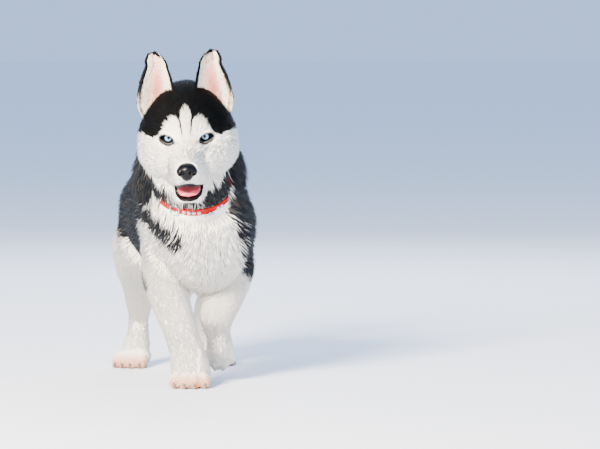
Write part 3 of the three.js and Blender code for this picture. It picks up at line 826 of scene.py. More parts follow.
@dataclass(frozen=True)
class WebbingFinish(Finish):
    """Flat woven nylon: threads that cross at a real spacing, along the strap's own map.

    Attributes:
        colour_code: the dyed colour.
        thread: the spacing of the threads, in mm.
        size: the strap's length and width that the map stands for, in mm.
    """

    colour_code: str = "#c40307"
    thread: float = 1.1
    size: tuple[float, float] = (360.0, 13.0)

    def weave(self, tree: NodeTree) -> NodeSocket:
        """Crossing threads as a height from 0 to 1.

        Args:
            tree: the material's node tree.

        Returns:
            The height's socket.
        """
        place = add_node(tree, "ShaderNodeUVMap", uv_map="Strap").outputs["UV"]
        counts = (self.size[0] / self.thread, self.size[1] / self.thread, 1.0)
        scaled = add_node(tree, "ShaderNodeMapping", {"Scale": counts}, {"Vector": place}).outputs["Vector"]
        shades = {"Scale": 1.0, "Color1": (1, 1, 1, 1), "Color2": (0.35, 0.35, 0.35, 1)}
        return add_node(tree, "ShaderNodeTexChecker", shades, {"Vector": scaled}).outputs["Color"]

    def colour(self, tree: NodeTree) -> NodeSocket:
        """The dye, with painted shade between the threads: darker where the weave is low.

        Args:
            tree: the material's node tree.

        Returns:
            The colour's socket.
        """
        red, green, blue, _ = rgba(self.colour_code)
        # Painted shade: where the weave is low the dye is darkened to about half, as if shadowed by the crossing
        # threads
        shades = {6: (red * 0.55, green * 0.5, blue * 0.5, 1), 7: (red, green, blue, 1)}
        return add_node(tree, "ShaderNodeMix", shades, {0: self.weave(tree)}, data_type="RGBA").outputs[2]

    def height(self, tree: NodeTree) -> tuple[NodeSocket, float]:
        """The threads stand up."""
        return self.weave(tree), 0.25


def piece(name: str, mesh: Mesh, material: Material,
          replaces: tuple[str, ...] = ()) -> None:
    """Puts a mesh in the scene as a piece of the puppy, with nothing of it below the ground.

    Args:
        name: the piece's name.
        mesh: its mesh, in the row frame.
        material: its finish.
        replaces: the solids that it stands for.
    """
    points = points_of(mesh)
    points[:, 2] = np.maximum(points[:, 2], 0)
    mesh.vertices.foreach_set("co", points.astype(np.float32).ravel())
    mesh.update()
    made = bpy.data.objects.new(name, mesh)
    bpy.context.scene.collection.objects.link(made)
    mesh.materials.clear()
    mesh.materials.append(material)
    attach(made, BODY)
    if replaces:
        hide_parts(*replaces)
    log.info("%s: %d faces", name, len(mesh.polygons))


def mesh_of(bm: BMesh, name: str, smooth: bool = True) -> Mesh:
    """A bmesh as a mesh, with its faces pointing out; the bmesh is freed.

    Args:
        bm: the bmesh of closed shells.
        name: the mesh's name.
        smooth: whether its faces are shaded smooth.

    Returns:
        The mesh.
    """
    bmesh.ops.recalc_face_normals(bm, faces=bm.faces)
    if bm.calc_volume(signed=True) < 0:
        bmesh.ops.reverse_faces(bm, faces=bm.faces)
    for face in bm.faces:
        face.smooth = smooth
    mesh = bpy.data.meshes.new(name)
    bm.to_mesh(mesh)
    bm.free()
    return mesh


def modified(mesh: Mesh, name: str, *steps: tuple[str, dict[str, object]]) -> Mesh:
    """A mesh with modifiers applied.

    Args:
        mesh: the mesh to work on.
        name: the new mesh's name.
        steps: each modifier's type and settings, in order.

    Returns:
        The new mesh.
    """
    worked = bpy.data.objects.new(name, mesh)
    bpy.context.scene.collection.objects.link(worked)
    for kind, settings in steps:
        modifier = worked.modifiers.new(kind.lower(), kind)
        for key, value in settings.items():
            setattr(modifier, key, value)
    graph = bpy.context.evaluated_depsgraph_get()
    made = bpy.data.meshes.new_from_object(worked.evaluated_get(graph))
    made.name = name
    bpy.data.objects.remove(worked)
    return made


def fused(mesh: Mesh, name: str, voxel: float, rounds: int = 0) -> Mesh:
    """A mesh of overlapping shells made one skin.

    Args:
        mesh: the closed shells.
        name: the new mesh's name.
        voxel: the size of its faces, in mm.
        rounds: how often it is smoothed.

    Returns:
        The new mesh.
    """
    steps = [("REMESH", {"mode": "VOXEL", "voxel_size": voxel * MM, "use_smooth_shade": True})]
    if rounds:
        steps.append(("SMOOTH", {"factor": 0.5, "iterations": rounds}))
    return modified(mesh, name, *steps)


def cut_away(mesh: Mesh, cutter: Mesh, name: str) -> Mesh:
    """A mesh with another one's space cut out of it.

    Args:
        mesh: the mesh to cut.
        cutter: the closed mesh of the space.
        name: the new mesh's name.

    Returns:
        The new mesh.
    """
    tool = bpy.data.objects.new("cutter", cutter)
    bpy.context.scene.collection.objects.link(tool)
    made = modified(mesh, name, ("BOOLEAN", {"object": tool, "operation": "DIFFERENCE", "solver": "EXACT"}))
    bpy.data.objects.remove(tool)
    return made


def tube(points: Array, radii: float | Array, name: str, cyclic: bool = False,
         sides: int = 3) -> Mesh:
    """A round tube along points, with closed ends.

    Args:
        points: the design points that it follows, in mm.
        radii: its radius, or one for each point, in mm.
        name: the mesh's name.
        cyclic: whether it closes on itself.
        sides: the bevel's resolution.

    Returns:
        The tube's mesh in the row frame.
    """
    curve = bpy.data.curves.new(name, "CURVE")
    curve.dimensions = "3D"
    curve.bevel_depth = MM
    curve.bevel_resolution = sides
    curve.use_fill_caps = True
    spline = curve.splines.new("POLY")
    spline.points.add(len(points) - 1)
    sizes = np.broadcast_to(np.asarray(radii, float), (len(points),))
    for spot, place, size in zip(spline.points, to_row(points), sizes):
        spot.co = (*place, 1.0)
        spot.radius = float(size)
    spline.use_cyclic_u = cyclic
    holder = bpy.data.objects.new(name, curve)
    bpy.context.scene.collection.objects.link(holder)
    graph = bpy.context.evaluated_depsgraph_get()
    mesh = bpy.data.meshes.new_from_object(holder.evaluated_get(graph))
    bpy.data.objects.remove(holder)
    mesh.shade_smooth()
    return mesh


def joined(meshes: list[Mesh], name: str) -> Mesh:
    """Several meshes as one.

    Args:
        meshes: the closed meshes.
        name: the new mesh's name.

    Returns:
        The new mesh.
    """
    bm = bmesh.new()
    for mesh in meshes:
        bm.from_mesh(mesh)
    return mesh_of(bm, name)


def paint(mesh: Mesh, colours: Array) -> None:
    """Gives each vertex of a mesh a colour, as the attribute that the finishes read.

    Args:
        mesh: the mesh to paint.
        colours: linear colours (n, 3).
    """
    attribute = mesh.color_attributes.new(name="tint", type="FLOAT_COLOR", domain="POINT")
    full = np.ones((len(mesh.vertices), 4), np.float32)
    full[:, :3] = colours
    attribute.data.foreach_set("color", full.ravel())


def points_of(mesh: Mesh) -> Array:
    """The places of a mesh's vertices.

    Args:
        mesh: the mesh, in the row frame.

    Returns:
        The places in metres (n, 3).
    """
    flat = np.empty(len(mesh.vertices) * 3, np.float32)
    mesh.vertices.foreach_get("co", flat)
    return flat.reshape(-1, 3).astype(float)


def normals_of(mesh: Mesh) -> Array:
    """The normals of a mesh's vertices.

    Args:
        mesh: the mesh.

    Returns:
        The normals (n, 3).
    """
    flat = np.empty(len(mesh.vertices) * 3, np.float32)
    mesh.vertex_normals.foreach_get("vector", flat)
    return flat.reshape(-1, 3).astype(float)


@dataclass(frozen=True)
class Markings:
    """The puppy's pattern: a black cap with a blaze and brows, a dark saddle, pale below, with painted shade on the
    throat.

    Attributes:
        pale, pale_root: light hair and the skin under it.
        cap, cap_tip: the head's black hair, from its darkest to its lightest.
        dark, dark_tip: the back's dark hair, from its darkest to its lightest.
        dark_root: the skin under dark hair.
        grey: the olive-grey hairs in it.
        stain: the toes' peach tinge.
        lip: bare black skin round the eyes and the mouth.
        gum: the inside of the mouth.
    """

    pale: str = "#fcf7ee"
    pale_root: str = "#f8f1e6"
    cap: str = "#050506"
    cap_tip: str = "#161716"
    dark: str = "#101216"
    dark_tip: str = "#2f333b"
    dark_root: str = "#141516"
    grey: str = "#48463f"
    stain: str = "#d08a55"
    lip: str = "#060505"
    gum: str = "#3a2224"

    def blaze_and_brows(self, across: Array, up: Array) -> Array:
        """How dark the front of the head is.

        Args:
            across: mm from the head's middle line.
            up: mm above the eyes, seen from the front.

        Returns:
            The darkness from 0 to 1.
        """
        edge = np.interp(across, (8, 10, 14, 19, 25, 31, 37, 42, 51, 60, 70, 76, 90),
                         (22, 27, 32, 34, 31, 24, 14, 8, 4, 9, 16, 20, 26))
        cap = ramp(up - edge, -1.5, 2.5)
        blaze = np.interp(up, (-20, 0, 15, 30, 40, 48, 54), (8, 7, 8, 8.5, 7, 2.5, -4))
        cap = cap * ramp(across - blaze, -1, 1.5)
        seam = np.interp(up, (8, 36), (6.5, 9.5))
        line = np.exp(-(((across - seam) / 1.5) ** 2)) * ramp(up, -6, 18) * 0.9
        streak = np.exp(-(((across - 16.5) / 4) ** 2) - ((up + 6) / 2.6) ** 2) * 0.6
        return np.maximum.reduce([cap, line, streak])

    def darkness(self, points: Array, normals: Array) -> tuple[Array, Array]:
        """How dark the coat is.

        Args:
            points: design points in mm.
            normals: the skin's normals there.

        Returns:
            The darkness from 0 to 1, and how much of it is the head's near black.
        """
        x, y, z = moved(points, HEAD_BACK).T
        in_head = ramp(z - (-62 + 0.9 * np.maximum(0, y - 20)), -8, 8) * ramp(-y, -96, -82)
        up = VIEW_UP[0] * z + VIEW_UP[1] * (y + 3)
        front = self.blaze_and_brows(np.abs(x), up + 2)
        behind = np.maximum(ramp(y + 0.25 * z, 52, 64) * ramp(np.abs(x) + z, 6, 26),
                            ramp(y, 58, 72) * ramp(-np.abs(x), -58, -42))
        head_dark = np.maximum(front * ramp(y, -40, -25), behind)
        trunk = self.trunk_darkness(points)
        tail_middle = np.array([16.0, 196.0, 368.0])
        inward = (unit(tail_middle - points) * normals).sum(1)
        on_tail = ramp(points[:, 1], 186, 200) * ramp(points[:, 2], 290, 306)
        trunk = trunk * (1 - on_tail) + ramp(inward, -0.35, 0.25) * on_tail
        chin = ramp(-JAW.away(points), -10, -6)
        dark = trunk * (1 - np.maximum(in_head, chin)) + head_dark * in_head
        return dark, in_head * ramp(-y, -70, -50)

    def trunk_darkness(self, points: Array) -> Array:
        """How dark the trunk, the neck and the legs are: a saddle, and marks that are placed in the front view, with
        painted shade under the chin.

        Args:
            points: design points in mm.

        Returns:
            The darkness from 0 to 1.
        """
        y, z = points[:, 1], points[:, 2]
        saddle_edge = np.interp(y, (-70, -40, 0, 60, 120, 180), (172, 172, 184, 204, 236, 266))
        saddle = ramp(z - saddle_edge, -9, 9)
        facing = ramp(-y, 42, 66)
        u = points @ VIEW_RIGHT - TRUNK_MIDDLE
        side_edge = np.interp(z, (150, 176, 250, 262, 282, 300, 330, 360, 420),
                              (110, 82, 82, 77, 68, 58, 46, 40, 34))
        sides = ramp(np.abs(u - 7 * ramp(z, 262, 285)) - side_edge, -15, 10)
        stripe_left = self.stroke(u, z, (-84, 284), (-12, 224), 11)
        stripe_right = self.stroke(u, z, (72, 292), (82, 232), 8)
        # Between the chin and the collar: dark throat fur, darkened further as painted shade of the chin and the
        # neck, most at the sides
        worn = moved(points, COLLAR_BACK)
        throat_fur_and_shade = ramp(worn[:, 2], 3, 9) * ramp(-worn[:, 2], -60, -48)
        throat_fur_and_shade = throat_fur_and_shade * ramp(-np.hypot(worn[:, 0], worn[:, 1]), -92, -80)
        throat_fur_and_shade = throat_fur_and_shade * (0.62 + 0.3 * ramp(np.abs(u), 14, 40))
        elbow = self.stroke(u, z, (-90, 226), (-68, 154), 9) * ramp(-y, -14, 6)
        chest = np.maximum.reduce([sides, stripe_left, stripe_right, throat_fur_and_shade])
        nape = ramp(y + 128 - (420 - z) * 0.25, 0, 14) * ramp(z, 290, 320)
        return np.maximum.reduce([saddle * (1 - facing) + chest * facing, nape, elbow])

    @staticmethod
    def stroke(u: Array, v: Array, start: tuple[float, float], end: tuple[float, float],
               width: float) -> Array:
        """A soft stroke between two points of the front view.

        Args:
            u, v: mm to the right and up in the view.
            start, end: the stroke's ends there.
            width: its width in mm.

        Returns:
            How much of it is at each place, from 0 to 1.
        """
        a, b = np.array(start, float), np.array(end, float)
        offset = np.stack([u, v], 1) - a
        along = b - a
        share = np.clip(offset @ along / (along @ along), 0, 1)
        away = np.linalg.norm(offset - share[:, None] * along, axis=1)
        return ramp(-away, -width * 1.5, -width * 0.6) * (1 - 0.3 * share)

    def eye_rim(self, points: Array) -> Array:
        """How far the skin is the black rim of an eye.

        Args:
            points: design points in mm.

        Returns:
            The share from 0 to 1.
        """
        head = moved(points, HEAD_BACK)
        across = (np.abs(head[:, 0]) - EYE_SPREAD - 1) / (LID_HALF_WIDTH + 2.0)
        up = (head[:, 2] - LID_SLANT * (np.abs(head[:, 0]) - EYE_SPREAD)) / (LID_HALF_HEIGHT + 1.5)
        return ramp(-np.hypot(across, up), -1.12, -0.9) * ramp(-head[:, 1], -12, -2)

    def skin_colours(self, points: Array, normals: Array) -> Array:
        """The colour of the skin and the short undercoat.

        Args:
            points: design points in mm.
            normals: the skin's normals there.

        Returns:
            The linear colours (n, 3).
        """
        dark, _ = self.darkness(points, normals)
        colour = linear(self.pale_root) * (1 - dark[:, None]) + linear(self.dark_root) * dark[:, None]
        for share, code in ((self.eye_rim(points), self.lip), (ramp(-MOUTH.away(points), -2.8, -1.4), self.lip),
                            (ramp(-MOUTH.away(points), -0.2, 1.2), self.gum), (self.toes(points), self.stain)):
            colour = colour * (1 - share[:, None]) + linear(code) * share[:, None]
        return colour

    def toes(self, points: Array) -> Array:
        """How stained the coat is, low on the three feet that stand."""
        ahead = np.max([ramp(-moved(points, np.linalg.inv(PAWS[name].pose))[:, 1], 2, 26) for name in STANDING],
                       axis=0)
        return ramp(-points[:, 2], -31, -10) * ahead

    def tuft_colours(self, points: Array, normals: Array,
                     random: np.random.Generator) -> tuple[Array, Array]:
        """The colours of tufts at their roots and tips.

        Args:
            points: the roots, in the design frame.
            normals: the skin's normals there.
            random: the source of the variation.

        Returns:
            The two colours, (n, 3) each.
        """
        count = len(points)
        dark, cap = self.darkness(points, normals)
        is_dark = (random.random(count) * 0.7 + 0.15 < dark)[:, None]
        shade = random.random(count)[:, None] ** 1.5
        pale = linear(self.pale) * random.uniform(0.9, 1.04, (count, 1))
        pale_root = linear(self.pale_root) * random.uniform(0.9, 1.05, (count, 1))
        coat = linear(self.dark) * (1 - shade) + linear(self.dark_tip) * shade
        greys = (random.random(count) < 0.3 * (1 - cap))[:, None]
        coat = np.where(greys, linear(self.grey) * random.uniform(0.5, 1.0, (count, 1)), coat)
        black = linear(self.cap) * (1 - shade) + linear(self.cap_tip) * shade
        coat = coat * (1 - cap[:, None]) + black * cap[:, None]
        coat_root = coat * (1 - cap[:, None]) * 1.5 + coat * cap[:, None]
        tip, root = np.where(is_dark, coat, pale), np.where(is_dark, coat_root, pale_root)
        stain = self.toes(points)[:, None] * random.uniform(0.3, 1.0, (count, 1))
        rim = self.eye_rim(points)[:, None]
        tip = tip * (1 - stain) + linear(self.stain) * stain
        tip, root = (c * (1 - rim) + linear(self.lip) * rim for c in (tip, root))
        return np.clip(root, 0, 1), np.clip(tip, 0, 1)


@dataclass
class Roots:
    """The places where tufts grow, as arrays with one row for each tuft."""

    places: Array
    normals: Array
    flow: Array
    length: Array
    depth: Array
    width: Array
    map_place: Array
    zone: Array

    def kept(self, mask: Array) -> "Roots":
        """Only the tufts that the mask keeps."""
        return Roots(*(getattr(self, name)[mask] for name in self.__dataclass_fields__))


@dataclass(eq=False)
class Lie:
    """The way the hair lies: the forms near a point share in its direction, length and depth.

    Attributes:
        forms: the forms that carry hair.
        sharpness: how strongly the nearest form decides.
        droop: how much the hair of the body hangs down.
        batch: how many points are worked on at a time.
    """

    forms: list[Form]
    sharpness: float = 7.0
    droop: float = 0.18
    batch: int = 8000

    def __post_init__(self) -> None:
        """Samples each form's path."""
        rows: dict[str, list[Array]] = {name: [] for name in
                                             ("middle", "along", "side", "up", "size", "hair", "t", "index")}
        for index, form in enumerate(self.forms):
            count = max(4, int(form.length / 9))
            t = (np.arange(count) + 0.5) / count
            along, side, up = form.axes(t)
            coat = form.coat
            hair = np.stack([coat.at(t, 1), coat.at(t, 2), np.full(count, coat.width),
                             np.full(count, coat.density), np.full(count, coat.flow is Flow.FROM_NOSE)], 1)
            for name, value in (("middle", form.centres(t)), ("along", along), ("side", side), ("up", up),
                                ("size", form.sizes(t)), ("hair", hair), ("t", t),
                                ("index", np.full(count, index))):
                rows[name].append(value)
        self.rows = {name: np.concatenate(value) for name, value in rows.items()}
        self.zones = np.array([form.coat.zone.number for form in self.forms])

    def read(self, points: Array, normals: Array) -> tuple[Array, Array, Array]:
        """The lie at each point.

        Args:
            points: design points in mm.
            normals: the skin's normals there.

        Returns:
            The flow (n, 3), the hair's (length, depth, width, density) and the nearest sample's index.
        """
        flows, hairs, nearest = [], [], []
        radius = self.rows["size"].mean(1)
        nose = moved(NOSE_PLACE[None] + (0, 6, -6), HEAD_POSE)
        for start in range(0, len(points), self.batch):
            some = points[start : start + self.batch]
            away = np.linalg.norm(some[:, None] - self.rows["middle"][None], axis=2) / radius
            weight = 1 / np.maximum(away, 0.05) ** self.sharpness
            weight /= weight.sum(1, keepdims=True)
            hair = weight @ self.rows["hair"]
            outward = unit(some - nose) + 0.25 * DOWN
            along = weight @ (self.rows["along"] * (1 - self.rows["hair"][:, 4:5]))
            flows.append(along + outward * hair[:, 4:5])
            hairs.append(hair[:, :4])
            nearest.append(away.argmin(1))
        flow = np.concatenate(flows) + self.droop * DOWN
        flow = unit(flow - (flow * normals).sum(1, keepdims=True) * normals)
        return flow, np.concatenate(hairs), np.concatenate(nearest)

    def map_places(self, points: Array, nearest: Array) -> Array:
        """The roots' places on an unwrap of the forms: each form has a cell, angle across and length up.

        Args:
            points: design points in mm.
            nearest: the nearest sample's index for each.

        Returns:
            The places on the map (n, 2).
        """
        rows = self.rows
        offset = points - rows["middle"][nearest]
        size = rows["size"][nearest]
        around = np.arctan2((offset * rows["up"][nearest]).sum(1) / size[:, 1],
                            (offset * rows["side"][nearest]).sum(1) / size[:, 0]) / TURN + 0.5
        index = rows["index"][nearest].astype(int)
        lengths = np.array([form.length for form in self.forms])
        up = rows["t"][nearest] + (offset * rows["along"][nearest]).sum(1) / lengths[index]
        grid = math.ceil(math.sqrt(len(self.forms)))
        corner = np.stack([index % grid, index // grid], 1)
        return (corner + 0.04 + 0.92 * np.stack([around, np.clip((up + 0.3) / 1.6, 0, 1)], 1)) / grid


@dataclass(eq=False)
class Tufts:
    """Builds tufts: thin three-sided spikes that rise from the skin and lie over.

    Attributes:
        markings: the pattern that colours them.
        random: the seeded source of their variation.
        clump: how many tufts share a lean.
        pull: how far the tips of a clump are drawn together.
        scatter: how far a tuft strays from the flow.
        bent: whether a tuft bends in the middle, as long hair does.
        patch: the size of a tuft on its map.
    """

    markings: Markings
    random: np.random.Generator
    clump: int = 14
    pull: float = 0.42
    scatter: float = 0.16
    bent: bool = True
    patch: float = 0.003

    def clumped(self, roots: Roots) -> tuple[Array, Array]:
        """Gathers the tufts in clumps.

        Args:
            roots: where they grow.

        Returns:
            The lean that each clump shares, and the way from each root to its clump's middle.
        """
        count = max(1, len(roots.places) // self.clump)
        chosen = self.random.choice(len(roots.places), count, replace=False)
        tree = kdtree.KDTree(count)
        for i, place in enumerate(roots.places[chosen]):
            tree.insert(place, i)
        tree.balance()
        owner = np.array([tree.find(place)[1] for place in roots.places])
        lean = self.random.normal(0, 1, (count, 3))[owner]
        return lean, roots.places[chosen][owner] - roots.places

    def mesh(self, name: str, roots: Roots,
             colours: tuple[Array, Array] | None = None) -> Mesh:
        """One mesh with a tuft at each root, written as arrays because there are tens of thousands.

        Args:
            name: the mesh's name.
            roots: where and how the tufts grow.
            colours: their colours at root and tip, or None for the markings'.

        Returns:
            The mesh in the row frame, painted and mapped.
        """
        count = len(roots.places)
        random = self.random
        lean, inward = self.clumped(roots)
        length = roots.length * random.uniform(0.78, 1.15, count)
        rise = np.minimum(roots.depth * random.uniform(0.72, 1.08, count), length * 0.9)
        stray = random.normal(0, self.scatter, (count, 3)) + lean * self.scatter
        normal = roots.normals
        flow = roots.flow + stray
        flow = unit(flow - (flow * normal).sum(1, keepdims=True) * normal)
        reach = np.sqrt(np.maximum(length**2 - rise**2, 1))
        side = np.cross(flow, normal)
        drawn = inward - (inward * normal).sum(1, keepdims=True) * normal
        limit = np.minimum(1, 0.3 * length / np.maximum(np.linalg.norm(drawn, axis=1), 1e-6))
        drawn = drawn * limit[:, None]

        def spot(s: float) -> Array:
            """The middle of the tuft at s, from 0 at the root to 1 at the tip."""
            up = rise * (1 - (1 - s) ** 2) - 1.4 * (1 - s)
            return roots.places + flow * (reach * s)[:, None] + normal * up[:, None] + drawn * (self.pull * s * s)

        corners = []
        for s, share in ((0.0, 1.0), (0.5, 0.78)) if self.bent else ((0.0, 1.0),):
            half = (roots.width * share / 2)[:, None]
            corners += [spot(s) + side * half, spot(s) - side * half, spot(s) + normal * half * 0.9]
        corners.append(spot(1.0))
        points = np.stack(corners, 1)
        faces = np.array([(0, 2, 1), (0, 1, 3), (1, 2, 3), (2, 0, 3)])
        if self.bent:
            faces = np.array([(0, 2, 1), (0, 1, 4), (0, 4, 3), (1, 2, 5), (1, 5, 4), (2, 0, 3), (2, 3, 5),
                              (3, 4, 6), (4, 5, 6), (5, 3, 6)])
        corner_count = points.shape[1]
        mesh = bpy.data.meshes.new(name)
        mesh.vertices.add(count * corner_count)
        spots = to_row(points.reshape(-1, 3))
        spots[:, 2] = np.maximum(spots[:, 2], 0.3 * MM)
        mesh.vertices.foreach_set("co", spots.astype(np.float32).ravel())
        index = (faces[None] + corner_count * np.arange(count)[:, None, None]).reshape(-1)
        mesh.loops.add(len(index))
        mesh.loops.foreach_set("vertex_index", index.astype(np.int32))
        mesh.polygons.add(len(index) // 3)
        mesh.polygons.foreach_set("loop_start", np.arange(0, len(index), 3, dtype=np.int32))
        mesh.update(calc_edges=True)
        mesh.shade_smooth()
        seen = roots.places + flow * (0.55 * reach)[:, None]
        base, tip = colours or self.markings.tuft_colours(seen, normal, random)
        middle = [base * 0.35 + tip * 0.65] * 3 if self.bent else []
        paint(mesh, np.stack([base] * 3 + middle + [tip], 1).reshape(-1, 3))
        patch = np.array([(0, 0), (1, 0), (0.5, 0.3), (0.1, 0.6), (0.9, 0.6), (0.5, 0.75), (0.5, 1)])
        patch = patch * self.patch
        patch = patch if self.bent else patch[[0, 1, 2, 6]]
        spots = (roots.map_place[:, None] + patch[None]).reshape(-1, 2)[index]
        mesh.uv_layers.new(name="OFBake").uv.foreach_set("vector", spots.astype(np.float32).ravel())
        return mesh


@dataclass(eq=False)
class Skin:
    """The one skin of body, head and legs, and the roots of the coat on it.

    Attributes:
        markings: the pattern.
        voxel: the size of its faces, in mm.
        tufts_in_all: how many tufts grow on it.
        replaced: the solids that it stands for.
        mesh: the finished skin, once it is built.
    """

    markings: Markings
    voxel: float = 2.7
    tufts_in_all: int = 190000
    replaced: tuple[str, ...] = (
        "head", "neck", "torso", "tail", "lower_jaw",
        *(f"{part}_{side}" for part in ("forepaw", "foreleg", "hindpaw", "rear_pastern", "hindleg")
          for side in ("left", "right")),
    )
    mesh: Mesh = field(init=False)

    def build(self, material: Material) -> None:
        """Fuses the forms, opens the eyes and the mouth, and paints the skin.

        Args:
            material: its finish.
        """
        bm = bmesh.new()
        for form in all_forms():
            form.shell(bm)
        for sign in (1, -1):
            for vert in bmesh.ops.create_uvsphere(bm, u_segments=32, v_segments=24, radius=1)["verts"]:
                local = np.array([vert.co]) * (EYE_RADIUS + SOCKET_ROOM) + (sign * EYE_SPREAD, EYE_DEPTH, 0)
                put([vert], moved(local, HEAD_POSE))
        whole = fused(mesh_of(bm, "forms"), "whole", self.voxel, 8)
        self.relax(whole)
        mouth = bmesh.new()
        MOUTH.shell(mouth, 32, 24)
        opened = cut_away(whole, mesh_of(mouth, "mouth_space"), "opened")
        for sign in (1, -1):
            opened = cut_away(opened, self.lid_space(sign), "skin")
        opened.shade_smooth()
        paint(opened, self.markings.skin_colours(to_design(points_of(opened)), normals_of(opened)))
        self.mesh = opened
        piece("skin", opened, material, self.replaced)

    @staticmethod
    def relax(mesh: Mesh, rounds: int = 70) -> None:
        """Draws points of the legs and the lifted paw towards their neighbours, so that joints run smoothly.

        Args:
            mesh: the fused skin, which is changed.
            rounds: how often.
        """
        ends = np.empty(len(mesh.edges) * 2, np.int32)
        mesh.edges.foreach_get("vertices", ends)
        a, b = ends.reshape(-1, 2).T
        points = points_of(mesh)
        design = to_design(points)
        legs = ramp(design[:, 2], 42, 62) * ramp(-design[:, 2], -330, -280) * ramp(design[:, 1], -190, -150)
        paw = np.linalg.norm(design - LIFTED_MIDDLE, axis=1)
        weight = 0.5 * np.maximum(legs, 0.8 * ramp(-paw, -34, -22))[:, None]
        count = np.maximum(np.bincount(a, minlength=len(points)) + np.bincount(b, minlength=len(points)), 1)
        for _ in range(rounds):
            total = np.stack([np.bincount(a, points[b, k], len(points)) + np.bincount(b, points[a, k], len(points))
                              for k in range(3)], 1)
            points += weight * (total / count[:, None] - points)
        mesh.vertices.foreach_set("co", points.astype(np.float32).ravel())
        mesh.update()

    @staticmethod
    def lid_space(sign: int) -> Mesh:
        """The almond-shaped space between the lids of one eye, whose outer corner is the higher.

        Args:
            sign: 1 on the left.

        Returns:
            The closed mesh of the space.
        """
        bm = bmesh.new()
        made = bmesh.ops.create_cone(bm, cap_ends=True, segments=40, radius1=1, radius2=1, depth=30)["verts"]
        for vert in made:
            angle = math.atan2(vert.co.y, vert.co.x)
            out = LID_HALF_WIDTH * math.cos(angle)
            up = LID_HALF_HEIGHT * math.sin(angle) * (1 - LID_SKEW * math.cos(angle)) + LID_SLANT * out
            local = np.array([[sign * (EYE_SPREAD + LID_SHIFT + out), vert.co.z - 10, up]])
            put([vert], moved(local, HEAD_POSE))
        return mesh_of(bm, "lid_space")

    def roots(self, random: np.random.Generator) -> Roots:
        """Chooses where the tufts grow, by the density of each part's hair.

        Args:
            random: the seeded source.

        Returns:
            The roots, clear of the eyes, mouth, nose, collar and pads.
        """
        self.mesh.calc_loop_triangles()
        flat = np.empty(len(self.mesh.loop_triangles) * 3, np.int32)
        self.mesh.loop_triangles.foreach_get("vertices", flat)
        faces = flat.reshape(-1, 3)
        points, normals = to_design(points_of(self.mesh)), normals_of(self.mesh)
        lie = Lie(all_forms())
        flow, hair, nearest = lie.read(points, normals)
        corner = points[faces]
        area = np.linalg.norm(np.cross(corner[:, 1] - corner[:, 0], corner[:, 2] - corner[:, 0]), axis=1) / 2
        weight = area * hair[:, 3][faces].mean(1)
        log.info("tufts that the densities ask for: %d", weight.sum())
        chosen = random.choice(len(faces), self.tufts_in_all, p=weight / weight.sum())
        mix = random.dirichlet((1, 1, 1), self.tufts_in_all)
        picked = faces[chosen]

        def blend(values: Array) -> Array:
            """Vertex values at the chosen places."""
            return (values[picked] * mix.reshape(len(mix), 3, *([1] * (values.ndim - 1)))).sum(1)

        places = blend(points)
        owner = nearest[picked[:, 0]]
        roots = Roots(places, unit(blend(normals)), unit(blend(flow)), blend(hair[:, 0]), blend(hair[:, 1]),
                      blend(hair[:, 2]), lie.map_places(places, owner),
                      lie.zones[lie.rows["index"][owner].astype(int)])
        return self.fitted(roots)

    def fitted(self, roots: Roots) -> Roots:
        """Takes away or shortens the tufts round the eyes, mouth, nose, collar and pads.

        Args:
            roots: where the tufts would grow.

        Returns:
            Where they do, with their own lengths.
        """
        places = roots.places
        head = moved(places, HEAD_BACK)
        lids = np.stack([np.sign(head[:, 0]) * (EYE_SPREAD - 0.6), np.full(len(head), -3.0),
                         np.full(len(head), -1.2)], 1)
        eye = np.linalg.norm((head - lids) / (13.6, 14, 10.4), axis=1)
        nose = np.linalg.norm((head - NOSE_PLACE) / (16.0, 15.0, 13.5), axis=1)
        philtrum = (np.abs(head[:, 0]) < 2.2) & (head[:, 2] < -38) & (head[:, 1] < -50)
        mouth = MOUTH.away(places)
        ear = (np.abs(np.abs(head[:, 0]) - 46) < 20) & (np.abs(head[:, 1] - 50) < 12) & (head[:, 2] > 18)
        collar = moved(places, COLLAR_BACK)
        radius = np.hypot(collar[:, 0], collar[:, 1])
        around = np.degrees(np.arctan2(collar[:, 0], -collar[:, 1]))
        shown = ramp(around, -80, -64) * ramp(-around, -72, -56)
        by_neck = radius < COLLAR_RADIUS + 18
        above = collar[:, 2] - COLLAR_WIDTH / 2
        under_strap = by_neck & (np.abs(collar[:, 2]) < COLLAR_WIDTH / 2 + 0.5) & (shown > 0.3)
        sole = (places[:, 2] < 4.5) & (roots.normals[:, 2] < -0.5)
        keep = ~((eye < 1) | (nose < 1) | philtrum | (mouth < 1.6) | under_strap | sole)
        length, depth = roots.length, roots.depth
        near_lip = np.clip((mouth - 0.5) / 9, 0.2, 1)
        near_eye = np.clip((eye - 0.72) / 1.3, 0.22, 1)
        near_ear = np.where(ear, 0.6, 1)
        share = near_lip * near_eye * near_ear
        room = np.clip((above + 3) / np.maximum(length, 1), 0.2, 1)
        room = np.where(by_neck & (above > 0) & (above < 40), room, 1)
        share = share * (1 - shown * (1 - room))
        raised = 0.6 * ramp(np.abs(head[:, 0]), 30, 50) * ramp(-head[:, 2], 8, 34)
        raised = np.where(roots.zone == Zone.RUFF.number, 1 + raised, 1)
        roots.length, roots.depth = length * share, depth * share * raised
        return roots.kept(keep)


@dataclass(frozen=True)
class EarHair:
    """One kind of hair on an ear.

    Attributes:
        count: how many tufts it has.
        across: its least and greatest place across the cup, whose edges are at -1 and 1.
        up: its least and greatest place up the cup, from 0 to 1.
        mirrored: whether it grows on both halves of the cup.
        inside: whether it grows inside the cup.
        lie: its lean outwards, how much that grows across the cup, and its lean backwards and up.
        size: its length, depth and width, in mm.
        tint: its colour.
        spread: how far the colour's brightness varies.
    """

    count: int
    across: tuple[float, float]
    up: tuple[float, float]
    mirrored: bool
    inside: bool
    lie: tuple[float, float, float, float]
    size: tuple[float, float, float]
    tint: str
    spread: float


